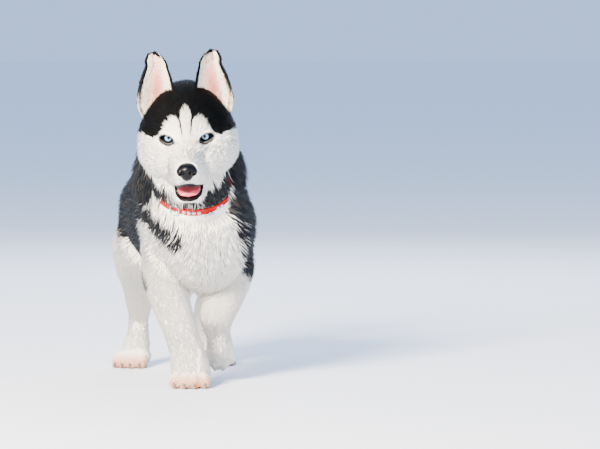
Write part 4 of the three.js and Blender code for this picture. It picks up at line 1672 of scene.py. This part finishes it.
# Pale at the root, black outside and on the rim and the tip, pale and sparse pink inside
EAR_HAIR = (
    EarHair(900, (-1, 1), (0.02, 0.26), False, False, (0.3, 0.4, 0, 1), (10.0, 3.4, 1.4), "#efe4d5", 0.1),
    EarHair(4600, (-1, 1), (0.25, 0.99), False, False, (0, 0.25, 0, 1), (5.0, 1.4, 1.3), "#101112", 0.35),
    EarHair(3200, (0.86, 1.0), (0.22, 0.99), True, True, (0, 0.5, 0, 1), (4.0, 1.2, 1.2), "#0b0b0c", 0.3),
    EarHair(1100, (-1, 1), (0.93, 0.995), False, True, (0, 0.8, 0, 0.8), (3.4, 1.0, 1.1), "#0b0b0c", 0.3),
    EarHair(3800, (0.42, 0.82), (0.02, 0.78), True, True, (0, -0.35, -0.2, 1), (9.0, 2.0, 0.9), "#f4e9da", 0.08),
    EarHair(420, (-0.45, 0.45), (0.02, 0.85), False, True, (0, 0.3, -0.2, 1), (7.0, 1.4, 0.8), "#dfa594", 0.12),
)


@dataclass(eq=False)
class Ear:
    """An upright ear: a cup open to the front, pale and pink inside and black outside.

    Attributes:
        sign: 1 on the left.
        levels: rows of (z, y of the edges, nearest x, farthest x, depth of the cup), in mm.
        wall: how thick the ear's leather is, in mm.
        left_inward: how much nearer the middle the left ear stands, in mm.
        pale, pink, deep: the skin inside, from the edges to the bottom of the cup, where deep is a dark red painted
            as shade in the cup's hollow.
        black, root: the skin outside, above and at its foot.
    """

    sign: int
    levels: tuple[tuple[float, ...], ...] = (
        (2, 52, 40, 56, 8),
        (20, 50, 33, 69, 14),
        (40, 48, 23, 74, 18),
        (61, 47, 17.5, 71.5, 17),
        (80, 47, 20, 66, 14),
        (96, 49, 24.5, 59.5, 9.5),
        (105, 50.5, 27, 59.5, 7),
        (112, 52, 31, 57.5, 4.5),
        (116.5, 53.5, 35, 54, 2.5),
        (118.5, 54, 39.5, 50.5, 1.2),
    )
    wall: float = 2.0
    left_inward: float = 2.0
    pale: str = "#eedcc8"
    pink: str = "#cc8070"
    deep: str = "#7c372e"
    black: str = "#0c0c0d"
    root: str = "#e9dccb"

    @property
    def side(self) -> str:
        """The side's name."""
        return "left" if self.sign > 0 else "right"

    def surface(self, u: Array, v: Array, lift: float = 0.0) -> Array:
        """Points of the cup.

        Args:
            u: places across it, from -1 to 1.
            v: places up it, from 0 to 1.
            lift: how far behind its front face they lie, in mm.

        Returns:
            The design points (n, 3).
        """
        z, edge, near, far, cup = catmull(np.array(self.levels, float), v).T
        middle = (near + far) / 2 - (self.left_inward if self.sign > 0 else 0)
        half = (far - near) / 2
        y = edge + 6 * u + cup * (1 - np.abs(u) ** 2.4) + lift
        return moved(np.stack([self.sign * (middle + half * u), y, z], 1), HEAD_POSE)

    def colour(self, u: Array, v: Array, inside: Array) -> Array:
        """The skin's colour at places of the cup, with painted shade low in its hollow.

        Args:
            u, v: the places across and up.
            inside: 1 where they are on the front face, and 0 behind.

        Returns:
            The linear colours (n, 3).
        """
        pink = np.exp(-((u / 0.5) ** 2)) * ramp(-v, -0.86, -0.35)
        # Painted shade: the deep red darkens the middle of the cup low down, where its hollow lies in shadow
        deep = np.exp(-((u / 0.22) ** 2) - ((v - 0.22) / 0.2) ** 2)
        inner = linear(self.pale) * (1 - pink[:, None]) + linear(self.pink) * pink[:, None]
        inner = inner * (1 - 0.45 * deep[:, None]) + linear(self.deep) * 0.45 * deep[:, None]
        low = ramp(-v, -0.3, -0.18)[:, None]
        outer = linear(self.black) * (1 - low) + linear(self.root) * low
        rim = np.maximum(ramp(np.abs(u), 0.8, 0.88), ramp(v, 0.9, 0.93)) * ramp(v, 0.2, 0.34)
        share = np.maximum(rim, 1 - inside)[:, None]
        return inner * (1 - share) + outer * share

    def build(self, material: Material) -> None:
        """Makes the ear's leather as one closed shell.

        Args:
            material: its finish.
        """
        bm = bmesh.new()
        places = []
        for lift in (0.0, self.wall):
            made = bmesh.ops.create_grid(bm, x_segments=30, y_segments=46, size=1)["verts"]
            flat = np.array([v.co for v in made])
            u, v = flat[:, 0], (flat[:, 1] + 1) / 2
            places.append((u, v, np.full(len(u), float(lift == 0))))
            put(made, self.surface(u, v, lift))
        bmesh.ops.bridge_loops(bm, edges=[edge for edge in bm.edges if edge.is_boundary])
        mesh = mesh_of(bm, f"ear_{self.side}_leather")
        paint(mesh, self.colour(*(np.concatenate(column) for column in zip(*places))))
        piece(f"ear_{self.side}_leather", mesh, material, (f"ear_{self.side}",))

    def roots(self, random: np.random.Generator) -> tuple[Roots, tuple[Array, Array]]:
        """The ear's tufts.

        Args:
            random: the seeded source.

        Returns:
            The roots, and the colours at root and tip.
        """
        rows = []
        back = turned(np.array([[0.0, 1.0, 0.0]]), HEAD_POSE)
        for hair in EAR_HAIR:
            half = random.choice([-1.0, 1.0], hair.count) if hair.mirrored else 1.0
            u = half * random.uniform(*hair.across, hair.count)
            v = random.uniform(*hair.up, hair.count)
            place = self.surface(u, v, -0.6 if hair.inside else self.wall * 0.6)
            ahead = self.surface(u, np.minimum(v + 0.01, 1))
            beside = self.surface(np.minimum(u + 0.02, 1.02), v)
            normal = unit(np.cross(beside - place, ahead - place)) * self.sign
            normal *= np.sign((normal * back).sum(1, keepdims=True)) * (-1 if hair.inside else 1)
            outward, growth, y, z = hair.lie
            lie = np.stack([(outward + u * growth) * self.sign, np.full(hair.count, y), np.full(hair.count, z)], 1)
            flow = turned(lie, HEAD_POSE)
            flow = unit(flow - (flow * normal).sum(1, keepdims=True) * normal)
            colour = linear(hair.tint) * random.uniform(1 - hair.spread, 1 + hair.spread, (hair.count, 1))
            sizes = [np.full(hair.count, size) for size in hair.size]
            map_place = np.stack([u * 0.24 + (0.25 if hair.inside else 0.75), v * 0.94 + 0.02], 1)
            rows.append((place, normal, flow, *sizes, map_place, colour))
        *parts, colour = [np.concatenate(column) for column in zip(*rows)]
        roots = Roots(*parts, np.full(len(colour), Zone.EARS.number))
        return roots, (colour * 0.85, np.clip(colour * 1.05, 0, 1))


@dataclass(eq=False)
class Eye:
    """An eyeball with a clear bulge over the iris, and the black rims of its lids.

    Attributes:
        sign: 1 on the left.
        gaze: where it looks, in the head's frame, for the left eye.
        sunk: how far the ball's surface lies inside the eye's radius, in mm.
        bulge: how far its clear front stands out, in mm.
        bulge_angle: how wide the bulge is, in radians.
        rim_steps: how many points the rims' path has.
    """

    sign: int
    gaze: tuple[float, float, float] = (-0.2, -1.0, 0.12)
    sunk: float = 0.5
    bulge: float = 0.7
    bulge_angle: float = 0.5
    rim_steps: int = 64

    @property
    def side(self) -> str:
        """The side's name."""
        return "left" if self.sign > 0 else "right"

    def centre(self) -> Array:
        """The middle of the eyeball, in the head's frame."""
        return np.array([self.sign * EYE_SPREAD, EYE_DEPTH, 0.0])

    def ball(self, iris: Material) -> None:
        """Makes the eyeball, with a map around the gaze and away from it.

        Args:
            iris: its finish.
        """
        bm = bmesh.new()
        bmesh.ops.create_uvsphere(bm, u_segments=48, v_segments=48, radius=1)
        ahead = Vector((self.gaze[0] * self.sign, *self.gaze[1:])).normalized()
        turn = np.array(ahead.to_track_quat("Z", "Y").to_matrix())
        layer = bm.loops.layers.uv.new("Iris")
        for face in bm.faces:
            around = [math.atan2(v.co.y, v.co.x) / TURN for v in face.verts]
            for loop, value in zip(face.loops, around):
                polar = math.acos(max(-1, min(1, loop.vert.co.z)))
                wrapped = value + 1 if value < 0 and max(around) - value > 0.5 else value
                loop[layer].uv = (wrapped, polar * EYE_RADIUS / IRIS_REACH)
        for vert in bm.verts:
            local = np.array(vert.co)
            polar = math.acos(max(-1, min(1, local[2])))
            out = self.bulge * math.exp(-((polar / self.bulge_angle) ** 2))
            place = turn @ (local * (EYE_RADIUS - self.sunk + out)) + self.centre()
            put([vert], moved(place[None], HEAD_POSE))
        name = f"eyeball_{self.side}"
        piece(name, mesh_of(bm, name), iris, (f"eye_{self.side}",))

    def rims(self, rim: Material) -> None:
        """Makes the black edges of the two lids as one ring, thicker above and at the corners.

        Args:
            rim: its finish.
        """
        angle = np.linspace(0, TURN, self.rim_steps, endpoint=False)
        out = (LID_HALF_WIDTH + 0.4) * np.cos(angle)
        up = (LID_HALF_HEIGHT + 0.2) * np.sin(angle) * (1 - LID_SKEW * np.cos(angle)) + LID_SLANT * out
        across = np.stack([self.sign * (out + LID_SHIFT), np.zeros(self.rim_steps), up], 1)
        depth = np.sqrt(np.maximum((EYE_RADIUS + 0.9) ** 2 - (across**2).sum(1), 4.0))
        local = self.centre() + across - depth[:, None] * np.array([0, 1.0, 0])
        thick = 1.8 + 0.5 * np.maximum(0, np.sin(angle)) + 0.4 * np.maximum(0, np.abs(np.cos(angle)) - 0.8) * 5
        name = f"eye_rims_{self.side}"
        piece(name, tube(moved(local, HEAD_POSE), thick, name, True, 4), rim)

    def build(self, iris: Material, rim: Material) -> None:
        """Makes the eyeball and the rims.

        Args:
            iris: the eyeball's finish.
            rim: the finish of the lids' black edges.
        """
        self.ball(iris)
        self.rims(rim)


@dataclass(eq=False)
class Face:
    """The nose, the tongue and the black lips, in the head's frame, in mm.

    Attributes:
        voxel: the size of the nose's faces.
        nostril_voxel: the size of the faces of the space that is cut out of it.
        groove: how deep and how wide the tongue's groove is.
        upper, lower: points of the left half of each lip, from the corner to the middle.
        upper_radius, lower_radius: how thick the lips' edges are.
    """

    voxel: float = 0.8
    nostril_voxel: float = 0.4
    groove: tuple[float, float] = (1.3, 2.4)
    upper: tuple[tuple[float, float, float], ...] = (
        (23, -2, -62), (20.5, -24, -64.5), (16.5, -45, -63), (9, -62, -58), (0, -68, -55))
    lower: tuple[tuple[float, float, float], ...] = (
        (22, -5, -66), (20.5, -24, -74.5), (17, -42, -80), (10, -53.5, -82), (0, -57, -82.5))
    upper_radius: float = 1.8
    lower_radius: float = 1.9

    def nose(self, material: Material) -> None:
        """Makes the nose pad with two nostrils and a groove between them.

        Args:
            material: its finish.
        """
        bm, holes = bmesh.new(), bmesh.new()
        self.ball(bm, (0, -67, -31), (14.5, 13, 10.5))
        self.ball(bm, (0, -68.5, -38.5), (9.5, 10.5, 9.5))
        for sign in (1, -1):
            self.ball(bm, (sign * 9.5, -69, -33), (6.5, 9.5, 7.5))
            self.ball(holes, (sign * 6.3, -80.5, -33), (3.4, 6.5, 3.0))
            self.ball(holes, (sign * 11.8, -77, -35.6), (4.6, 4.0, 1.4), sign * 20)
        self.ball(holes, (0, -82, -38), (0.9, 4.2, 8.5))
        pad = fused(mesh_of(bm, "nose_forms"), "nose_fused", self.voxel, 4)
        space = fused(mesh_of(holes, "nostril_forms"), "nostril_space", self.nostril_voxel)
        soft = fused(cut_away(pad, space, "nose_cut"), "nose_pad", self.voxel, 3)
        piece("nose_pad", soft, material, ("nose",))

    @staticmethod
    def ball(bm: BMesh, middle: tuple[float, float, float], sizes: tuple[float, float, float],
             roll: float = 0.0) -> None:
        """Adds an ellipsoid to a bmesh.

        Args:
            bm: the bmesh.
            middle: where its middle lies.
            sizes: its half width, depth and height.
            roll: how far it is turned about Y, in degrees.
        """
        made = bmesh.ops.create_uvsphere(bm, u_segments=32, v_segments=24, radius=1)["verts"]
        put(made, moved(np.array([v.co for v in made]) * sizes, HEAD_POSE @ placed(*middle, 0, roll, 0)))

    def tongue(self, material: Material) -> None:
        """Makes the tongue, with a groove along its middle.

        Args:
            material: its finish.
        """
        bm = bmesh.new()
        TONGUE.shell(bm, 40, 48)
        local = moved(to_design(np.array([v.co for v in bm.verts])), HEAD_BACK)
        deep, wide = self.groove
        local[:, 2] -= deep * np.exp(-((local[:, 0] / wide) ** 2))
        put(bm.verts, moved(local, HEAD_POSE))
        piece("tongue_flesh", mesh_of(bm, "tongue_flesh"), material, ("tongue",))

    def lips(self, material: Material) -> None:
        """Makes the black edges of the lips, upper and lower, thickest in the middle.

        Args:
            material: their finish.
        """
        meshes = []
        for half, thick in ((self.upper, self.upper_radius), (self.lower, self.lower_radius)):
            whole = np.array([*half, *((-x, y, z) for x, y, z in reversed(half[:-1]))], float)
            path = catmull(whole, np.linspace(0, 1, 60))
            radii = thick * (0.45 + 0.55 * np.sin(np.linspace(0, math.pi, 60)))
            meshes.append(tube(moved(path, HEAD_POSE), radii, "lip"))
        piece("lips", joined(meshes, "lips"), material)

    def build(self, leather: Material, flesh: Material) -> None:
        """Makes all the pieces of the face.

        Args:
            leather: the finish of the nose and lips.
            flesh: the tongue's finish.
        """
        self.nose(leather)
        self.tongue(flesh)
        self.lips(leather)


@dataclass(eq=False)
class Collar:
    """A red webbing collar with a steel buckle, a ring and studs.

    Attributes:
        stud_degrees: where the studs sit, from the middle of the front.
        buckle_degrees: where the buckle sits.
        ring_degrees: where the ring hangs.
        strap_steps: how many faces the strap has around.
        edge: how far its edges are cut off, in mm.
        stitches_around: how many stitches each row has.
        stitch: a stitch's length, width and height, in mm.
        dome: a stud's profile, as rows of (radius, height), in mm.
    """

    stud_degrees: tuple[float, ...] = (-22, -14, -6, 2, 34, 42)
    buckle_degrees: float = -36
    ring_degrees: float = 18
    strap_steps: int = 144
    edge: float = 0.8
    stitches_around: int = 120
    stitch: tuple[float, float, float] = (2.0, 0.5, 0.5)
    dome: tuple[tuple[float, float], ...] = (
        (0.0, 2.3), (0.7, 2.2), (1.4, 1.9), (2.1, 1.4), (2.7, 0.8), (3.2, 0.5), (3.3, 0.0))

    def on_strap(self, degrees: float, lift: float = 0.0) -> Array:
        """The frame on the strap's outer face: X along it, -Y out of it, Z across it.

        Args:
            degrees: the place, from the middle of the front towards the left.
            lift: how far outside the face it is, in mm.

        Returns:
            The 4 by 4 matrix.
        """
        reach = COLLAR_RADIUS + COLLAR_THICKNESS + lift
        angle = math.radians(degrees - 90)
        return COLLAR_POSE @ placed(reach * math.cos(angle), reach * math.sin(angle), 0, 0, 0, degrees)

    def strap(self, material: Material) -> None:
        """Makes the webbing with cut edges, and a map along and across it.

        Args:
            material: its finish.
        """
        half, thick, edge = COLLAR_WIDTH / 2, COLLAR_THICKNESS, self.edge
        section = [(0, edge - half), (edge, -half), (thick - edge, -half), (thick, edge - half)]
        section += [(out, -up) for out, up in reversed(section)]
        bm = bmesh.new()
        corners = [bm.verts.new((COLLAR_RADIUS + out, 0, up)) for out, up in section]
        sides = [bm.edges.new((corners[k - 1], corners[k])) for k in range(len(corners))]
        bmesh.ops.spin(bm, geom=corners + sides, angle=TURN, steps=self.strap_steps, axis=(0, 0, 1),
                       cent=(0, 0, 0), use_merge=True)
        layer = bm.loops.layers.uv.new("Strap")
        for face in bm.faces:
            middle = face.calc_center_median()
            start = math.atan2(middle.y, middle.x) % TURN
            for loop in face.loops:
                place = loop.vert.co
                beyond = (math.atan2(place.y, place.x) - start + math.pi) % TURN - math.pi
                loop[layer].uv = ((start + beyond) / TURN, place.z / COLLAR_WIDTH + 0.5)
        put(bm.verts, moved(np.array([v.co for v in bm.verts]), COLLAR_POSE))
        piece("strap_webbing", mesh_of(bm, "strap_webbing"), material, ("collar_strap",))

    def stitches(self, material: Material) -> None:
        """Makes the two rows of stitches along the strap's edges, as one mesh.

        Args:
            material: their finish.
        """
        bm = bmesh.new()
        for row in (-1, 1):
            for i in range(self.stitches_around):
                made = bmesh.ops.create_cube(bm, size=1)["verts"]
                local = np.array([v.co for v in made]) * self.stitch + (0, 0, row * (COLLAR_WIDTH / 2 - 1.9))
                put(made, moved(local, self.on_strap(i * 360 / self.stitches_around, 0.02)))
        piece("strap_stitches", mesh_of(bm, "strap_stitches", False), material)

    def studs(self, material: Material) -> None:
        """Makes the domed studs.

        Args:
            material: their finish.
        """
        for number, degrees in enumerate(self.stud_degrees, 1):
            bm = bmesh.new()
            rows = [bm.verts.new((radius, -up, 0)) for radius, up in self.dome]
            edges = [bm.edges.new(pair) for pair in zip(rows, rows[1:])]
            bmesh.ops.spin(bm, geom=rows + edges, angle=TURN, steps=28, axis=(0, 1, 0), cent=(0, 0, 0))
            bmesh.ops.remove_doubles(bm, verts=bm.verts, dist=1e-4)
            put(bm.verts, moved(np.array([v.co for v in bm.verts]), self.on_strap(degrees, -0.1)))
            name = f"stud_dome_{number}"
            piece(name, mesh_of(bm, name), material, (f"collar_stud_{number}",))

    def buckle(self, material: Material) -> None:
        """Makes the buckle: a rounded wire frame with a pin.

        Args:
            material: its finish.
        """
        pose = self.on_strap(self.buckle_degrees, 1.1)
        angle = np.linspace(0, TURN, 48, endpoint=False)
        corner = np.sign(np.cos(angle)) * np.abs(np.cos(angle)) ** 0.45
        rise = np.sign(np.sin(angle)) * np.abs(np.sin(angle)) ** 0.45
        frame_path = np.stack([7.2 * corner, np.zeros(48), 8.6 * rise], 1)
        pin = np.array([(-7.0, -0.6, 0), (0, -1.6, 0), (7.4, -1.4, 0)])
        meshes = [tube(moved(frame_path, pose), 1.25, "buckle_frame", True, 4),
                  tube(moved(catmull(pin, np.linspace(0, 1, 16)), pose), 1.0, "buckle_pin", False, 4)]
        piece("buckle_wire", joined(meshes, "buckle_wire"), material, ("collar_buckle",))

    def ring(self, material: Material) -> None:
        """Makes the ring that hangs from a loop on the strap.

        Args:
            material: its finish.
        """
        angle = np.linspace(0, TURN, 48, endpoint=False)
        circle = np.stack([np.cos(angle), np.sin(angle), np.zeros(48)], 1)
        loop_pose = self.on_strap(self.ring_degrees) @ placed(0, -0.4, -3.0, 90, 0, 90)
        ring_pose = self.on_strap(self.ring_degrees) @ placed(0, -2.8, -9.5, 78)
        meshes = [tube(moved(circle * 3.4, loop_pose), 1.2, "ring_loop", True, 4),
                  tube(moved(circle * 7.5, ring_pose), 1.3, "ring_wire", True, 4)]
        piece("ring_wire", joined(meshes, "ring_wire"), material, ("collar_ring",))

    def build(self, webbing: Material, thread: Material, steel: Material) -> None:
        """Makes the whole collar.

        Args:
            webbing: the strap's finish.
            thread: the stitches' finish.
            steel: the finish of the metal parts.
        """
        self.strap(webbing)
        self.stitches(thread)
        self.studs(steel)
        self.buckle(steel)
        self.ring(steel)


@dataclass(eq=False)
class Feet:
    """The claws and the leather pads of the four paws.

    Attributes:
        faces: how many faces each has around and along.
    """

    faces: int = 14

    def build(self, horn: Material, leather: Material) -> None:
        """Makes one piece of claws and one of pads for each paw.

        Args:
            horn: the claws' finish.
            leather: the pads' finish.
        """
        for paw_name, paw in PAWS.items():
            for what, forms, material in (("claws", paw.claws(), horn), ("pads", paw.pads(), leather)):
                bm = bmesh.new()
                for form in forms:
                    form.shell(bm, self.faces, self.faces)
                name = f"{paw_name}_{what}"
                piece(name, mesh_of(bm, name), material)


@dataclass(eq=False)
class Stage:
    """The floor, the light and the view of the photo, in metres.

    Attributes:
        floor_size: how far the floor reaches.
        floor_drop: how far it lies under the soles.
        floor_colour, sky_colour: the colours of the floor and of the air around.
        sky: how strongly the air lights the puppy.
        lights: rows of (name, place, edge, watts, colour).
        aim: where the lights look.
        sensor: the camera's width of view that its lens belongs to, in mm.
    """

    floor_size: float = 120
    floor_drop: float = 0.0004
    floor_colour: str = "#f6faff"
    sky_colour: str = "#a9c8f5"
    sky: float = 1.5
    lights: tuple[tuple[str, tuple[float, float, float], float, float, str], ...] = (
        ("key", (-2.6, -3.4, 2.3), 1.3, 1300, "#fff0dd"),
        ("fill", (2.4, -3.2, 1.0), 2.4, 70, "#d4e4ff"),
        ("back", (0.9, 2.4, 2.2), 1.6, 90, "#eef4ff"),
    )
    aim: tuple[float, float, float] = (0, 0, 0.25)
    sensor: float = 36.0

    def floor(self) -> None:
        """Lays a plain pale floor under the feet."""
        bm = bmesh.new()
        bmesh.ops.create_grid(bm, x_segments=1, y_segments=1, size=self.floor_size)
        mesh = mesh_of(bm, "floor")
        mesh.materials.append(Finish("snow_pale", {"Base Color": rgba(self.floor_colour), "Roughness": 0.95}).make())
        made = bpy.data.objects.new("floor", mesh)
        made.location.z = -self.floor_drop
        bpy.context.scene.collection.objects.link(made)
        made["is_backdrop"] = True

    def light(self) -> None:
        """Places the soft square lights and the even light of the air."""
        for name, place, size, watts, code in self.lights:
            lamp = bpy.data.lights.new(name, "AREA")
            lamp.energy, lamp.size, lamp.color = watts, size, tuple(float(v) for v in linear(code))
            made = bpy.data.objects.new(name, lamp)
            made.location = place
            made.rotation_euler = (Vector(self.aim) - Vector(place)).to_track_quat("-Z", "Y").to_euler()
            bpy.context.scene.collection.objects.link(made)
            made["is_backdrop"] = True
        world = bpy.data.worlds.new("sky")
        world.use_nodes = True
        air = world.node_tree.nodes["Background"].inputs
        air["Color"].default_value, air["Strength"].default_value = rgba(self.sky_colour), self.sky
        bpy.context.scene.world = world

    def camera(self) -> None:
        """Gives the photo's view."""
        lens = bpy.data.cameras.new("view")
        lens.lens, lens.sensor_width = LENS, self.sensor
        made = bpy.data.objects.new("view", lens)
        made.location = Vector(to_row(np.array([CAMERA_PLACE]))[0])
        made.rotation_euler = (math.radians(90 - CAMERA_PITCH), 0, math.radians(-CAMERA_YAW))
        bpy.context.scene.collection.objects.link(made)
        bpy.context.scene.camera = made

    def build(self) -> None:
        """Sets the stage."""
        self.floor()
        self.light()
        self.camera()


# Dog hair: matt horn fibres with a soft, broad sheen. Single hairs are too fine to show, so a tuft stands for a lock,
# and flecks of 2.2 mm for the hairs' own shades.
FUR = TintedFinish("fur", {"Roughness": 0.65, "Specular IOR Level": 0.08}, grain=2.2, spread=0.1)
# Skin under short hair: duller than the tufts, with a nap coarser than the real one, which wouldn't show
SKIN = TintedFinish("skin_undercoat", {"Roughness": 0.7, "Specular IOR Level": 0.08}, grain=1.6, spread=0.08,
                    relief=0.25)
# Thin ear skin: a little light comes through it and warms it
EAR = TintedFinish("ear_leather", {"Roughness": 0.6, "Specular IOR Level": 0.2, "Subsurface Weight": 0.1,
                                   "Subsurface Radius": (0.004, 0.0015, 0.001)}, grain=3.0, spread=0.06, relief=0.2)
# A dog's bare nose: black, moist and pebbled, with small sharp glints
LEATHER = GrainFinish("nose_leather_black", {"Roughness": 0.26, "Specular IOR Level": 0.12, "Coat Weight": 0.1,
                                             "Coat Roughness": 0.08}, "#020202", "#08080a", 5.0, 1.1, 0.25)
# The bare edge of the lids: black and drier than the nose, so it draws a dark line
RIM = GrainFinish("lid_black", {"Roughness": 0.55, "Specular IOR Level": 0.15},
                  "#030303", "#0a0909", 4.0, 0.8, 0.08)
# Wet tongue flesh: light scatters under a film of water, over small bumps
FLESH = GrainFinish("tongue_pink", {"Roughness": 0.34, "Coat Weight": 0.5, "Coat Roughness": 0.18,
                                    "Subsurface Weight": 0.15, "Subsurface Radius": (0.006, 0.002, 0.0015)},
                    "#dc4c58", "#ec6a70", 5.0, 0.9, 0.2)
# The pads' thick dry leather: matt and rough
PAD = GrainFinish("pad_leather", {"Roughness": 0.6}, "#3a2e2c", "#54433d", 6.0, 1.2, 0.4)
# Claw horn, worn smooth by walking: brownish, with a weak gloss
HORN = GrainFinish("claw_horn", {"Roughness": 0.4, "Coat Weight": 0.15}, "#6b5548", "#8f7868", 3.0, 1.6, 0.05)
# Polished nickel-plated steel: clear reflections, hardly worn
STEEL = GrainFinish("collar_metal", {"Roughness": 0.22, "Metallic": 1.0}, "#a4a7ab", "#c4c7ca", 6.0, 2.0, 0.02)
# Woven nylon, dyed: matt and ribbed, with threads about twice as coarse as the real ones, which wouldn't show
WEBBING = WebbingFinish("nylon_red", {"Roughness": 0.75, "Specular IOR Level": 0.1})
# Twisted polyester thread: matt, a little off the strap's own red
THREAD = GrainFinish("thread_red", {"Roughness": 0.6}, "#a51616", "#c42a24", 2.0, 0.6, 0.1)
# A pale blue iris under a wet clear surface: bright rings round a small pupil, and a dark edge
IRIS = IrisFinish("eye_blue", {"Roughness": 0.1, "Specular IOR Level": 0.2, "Coat Weight": 0.7,
                               "Coat Roughness": 0.02, "Coat IOR": 1.38},
                  rings=((0.0, "#050506"), (1.8, "#050506"), (2.2, "#2d5f92"), (2.9, "#9ccbee"), (4.4, "#b4dbf6"),
                         (5.3, "#6fa6d8"), (6.0, "#162c48"), (6.5, "#0b0f15"), (8.5, "#171414"),
                         (12.0, "#0d0b0b")))


def grow_coat(skin: Skin, ears: list[Ear], markings: Markings, random: np.random.Generator) -> None:
    """Grows the tufts on the skin and the ears, in pieces by the part of the coat.

    Args:
        skin: the finished skin.
        ears: the two ears.
        markings: the pattern.
        random: the seeded source.
    """
    fur = FUR.make()
    usual = Tufts(markings, random)
    short = Tufts(markings, random, clump=10, pull=0.3, scatter=0.12, bent=False)
    loose = Tufts(markings, random, clump=18, pull=0.5, scatter=0.2)
    fine = Tufts(markings, random, clump=6, pull=0.2, scatter=0.12, bent=False)
    roots = skin.roots(random)
    log.info("tufts on the skin: %d", len(roots.places))
    for zone in Zone:
        here = np.flatnonzero(roots.zone == zone.number)
        if not len(here):
            continue
        maker = short if zone in SHORT_COATED else loose if zone is Zone.RUFF else usual
        most = SHORT_TUFTS_PER_PIECE if zone in SHORT_COATED else LONG_TUFTS_PER_PIECE
        parts = np.array_split(here[np.argsort(roots.places[here, 2])], math.ceil(len(here) / most))
        for index, part in enumerate(parts, 1):
            name = f"coat_{zone.value}_{index}"
            piece(name, maker.mesh(name, roots.kept(part)), fur)
    for ear in ears:
        name = f"coat_ear_{ear.side}"
        piece(name, fine.mesh(name, *ear.roots(random)), fur)


def write_sizes() -> None:
    """Logs the sizes of the box of the solids and of the box of the finished model."""
    boxes = {"solids": CAD_BOX, "model": [list(corner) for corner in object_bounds()]}
    for name, (low, high) in boxes.items():
        log.info("%s: %s", name, [round(1000 * (b - a), 1) for a, b in zip(low, high)])


def main() -> None:
    """Builds the puppy, its collar and the stage, in order."""
    logging.basicConfig(level=logging.INFO, format="%(name)s: %(message)s")
    random = np.random.default_rng(SEED)
    markings = Markings()
    skin = Skin(markings)
    skin.build(SKIN.make())
    ears = [Ear(sign) for sign in (1, -1)]
    ear_skin = EAR.make()
    for ear in ears:
        ear.build(ear_skin)
    rim, iris = RIM.make(), IRIS.make()
    for sign in (1, -1):
        Eye(sign).build(iris, rim)
    Face().build(LEATHER.make(), FLESH.make())
    Collar().build(WEBBING.make(), THREAD.make(), STEEL.make())
    Feet().build(HORN.make(), PAD.make())
    grow_coat(skin, ears, markings, random)
    Stage().build()
    write_sizes()


if __name__ == "__main__":
    main()
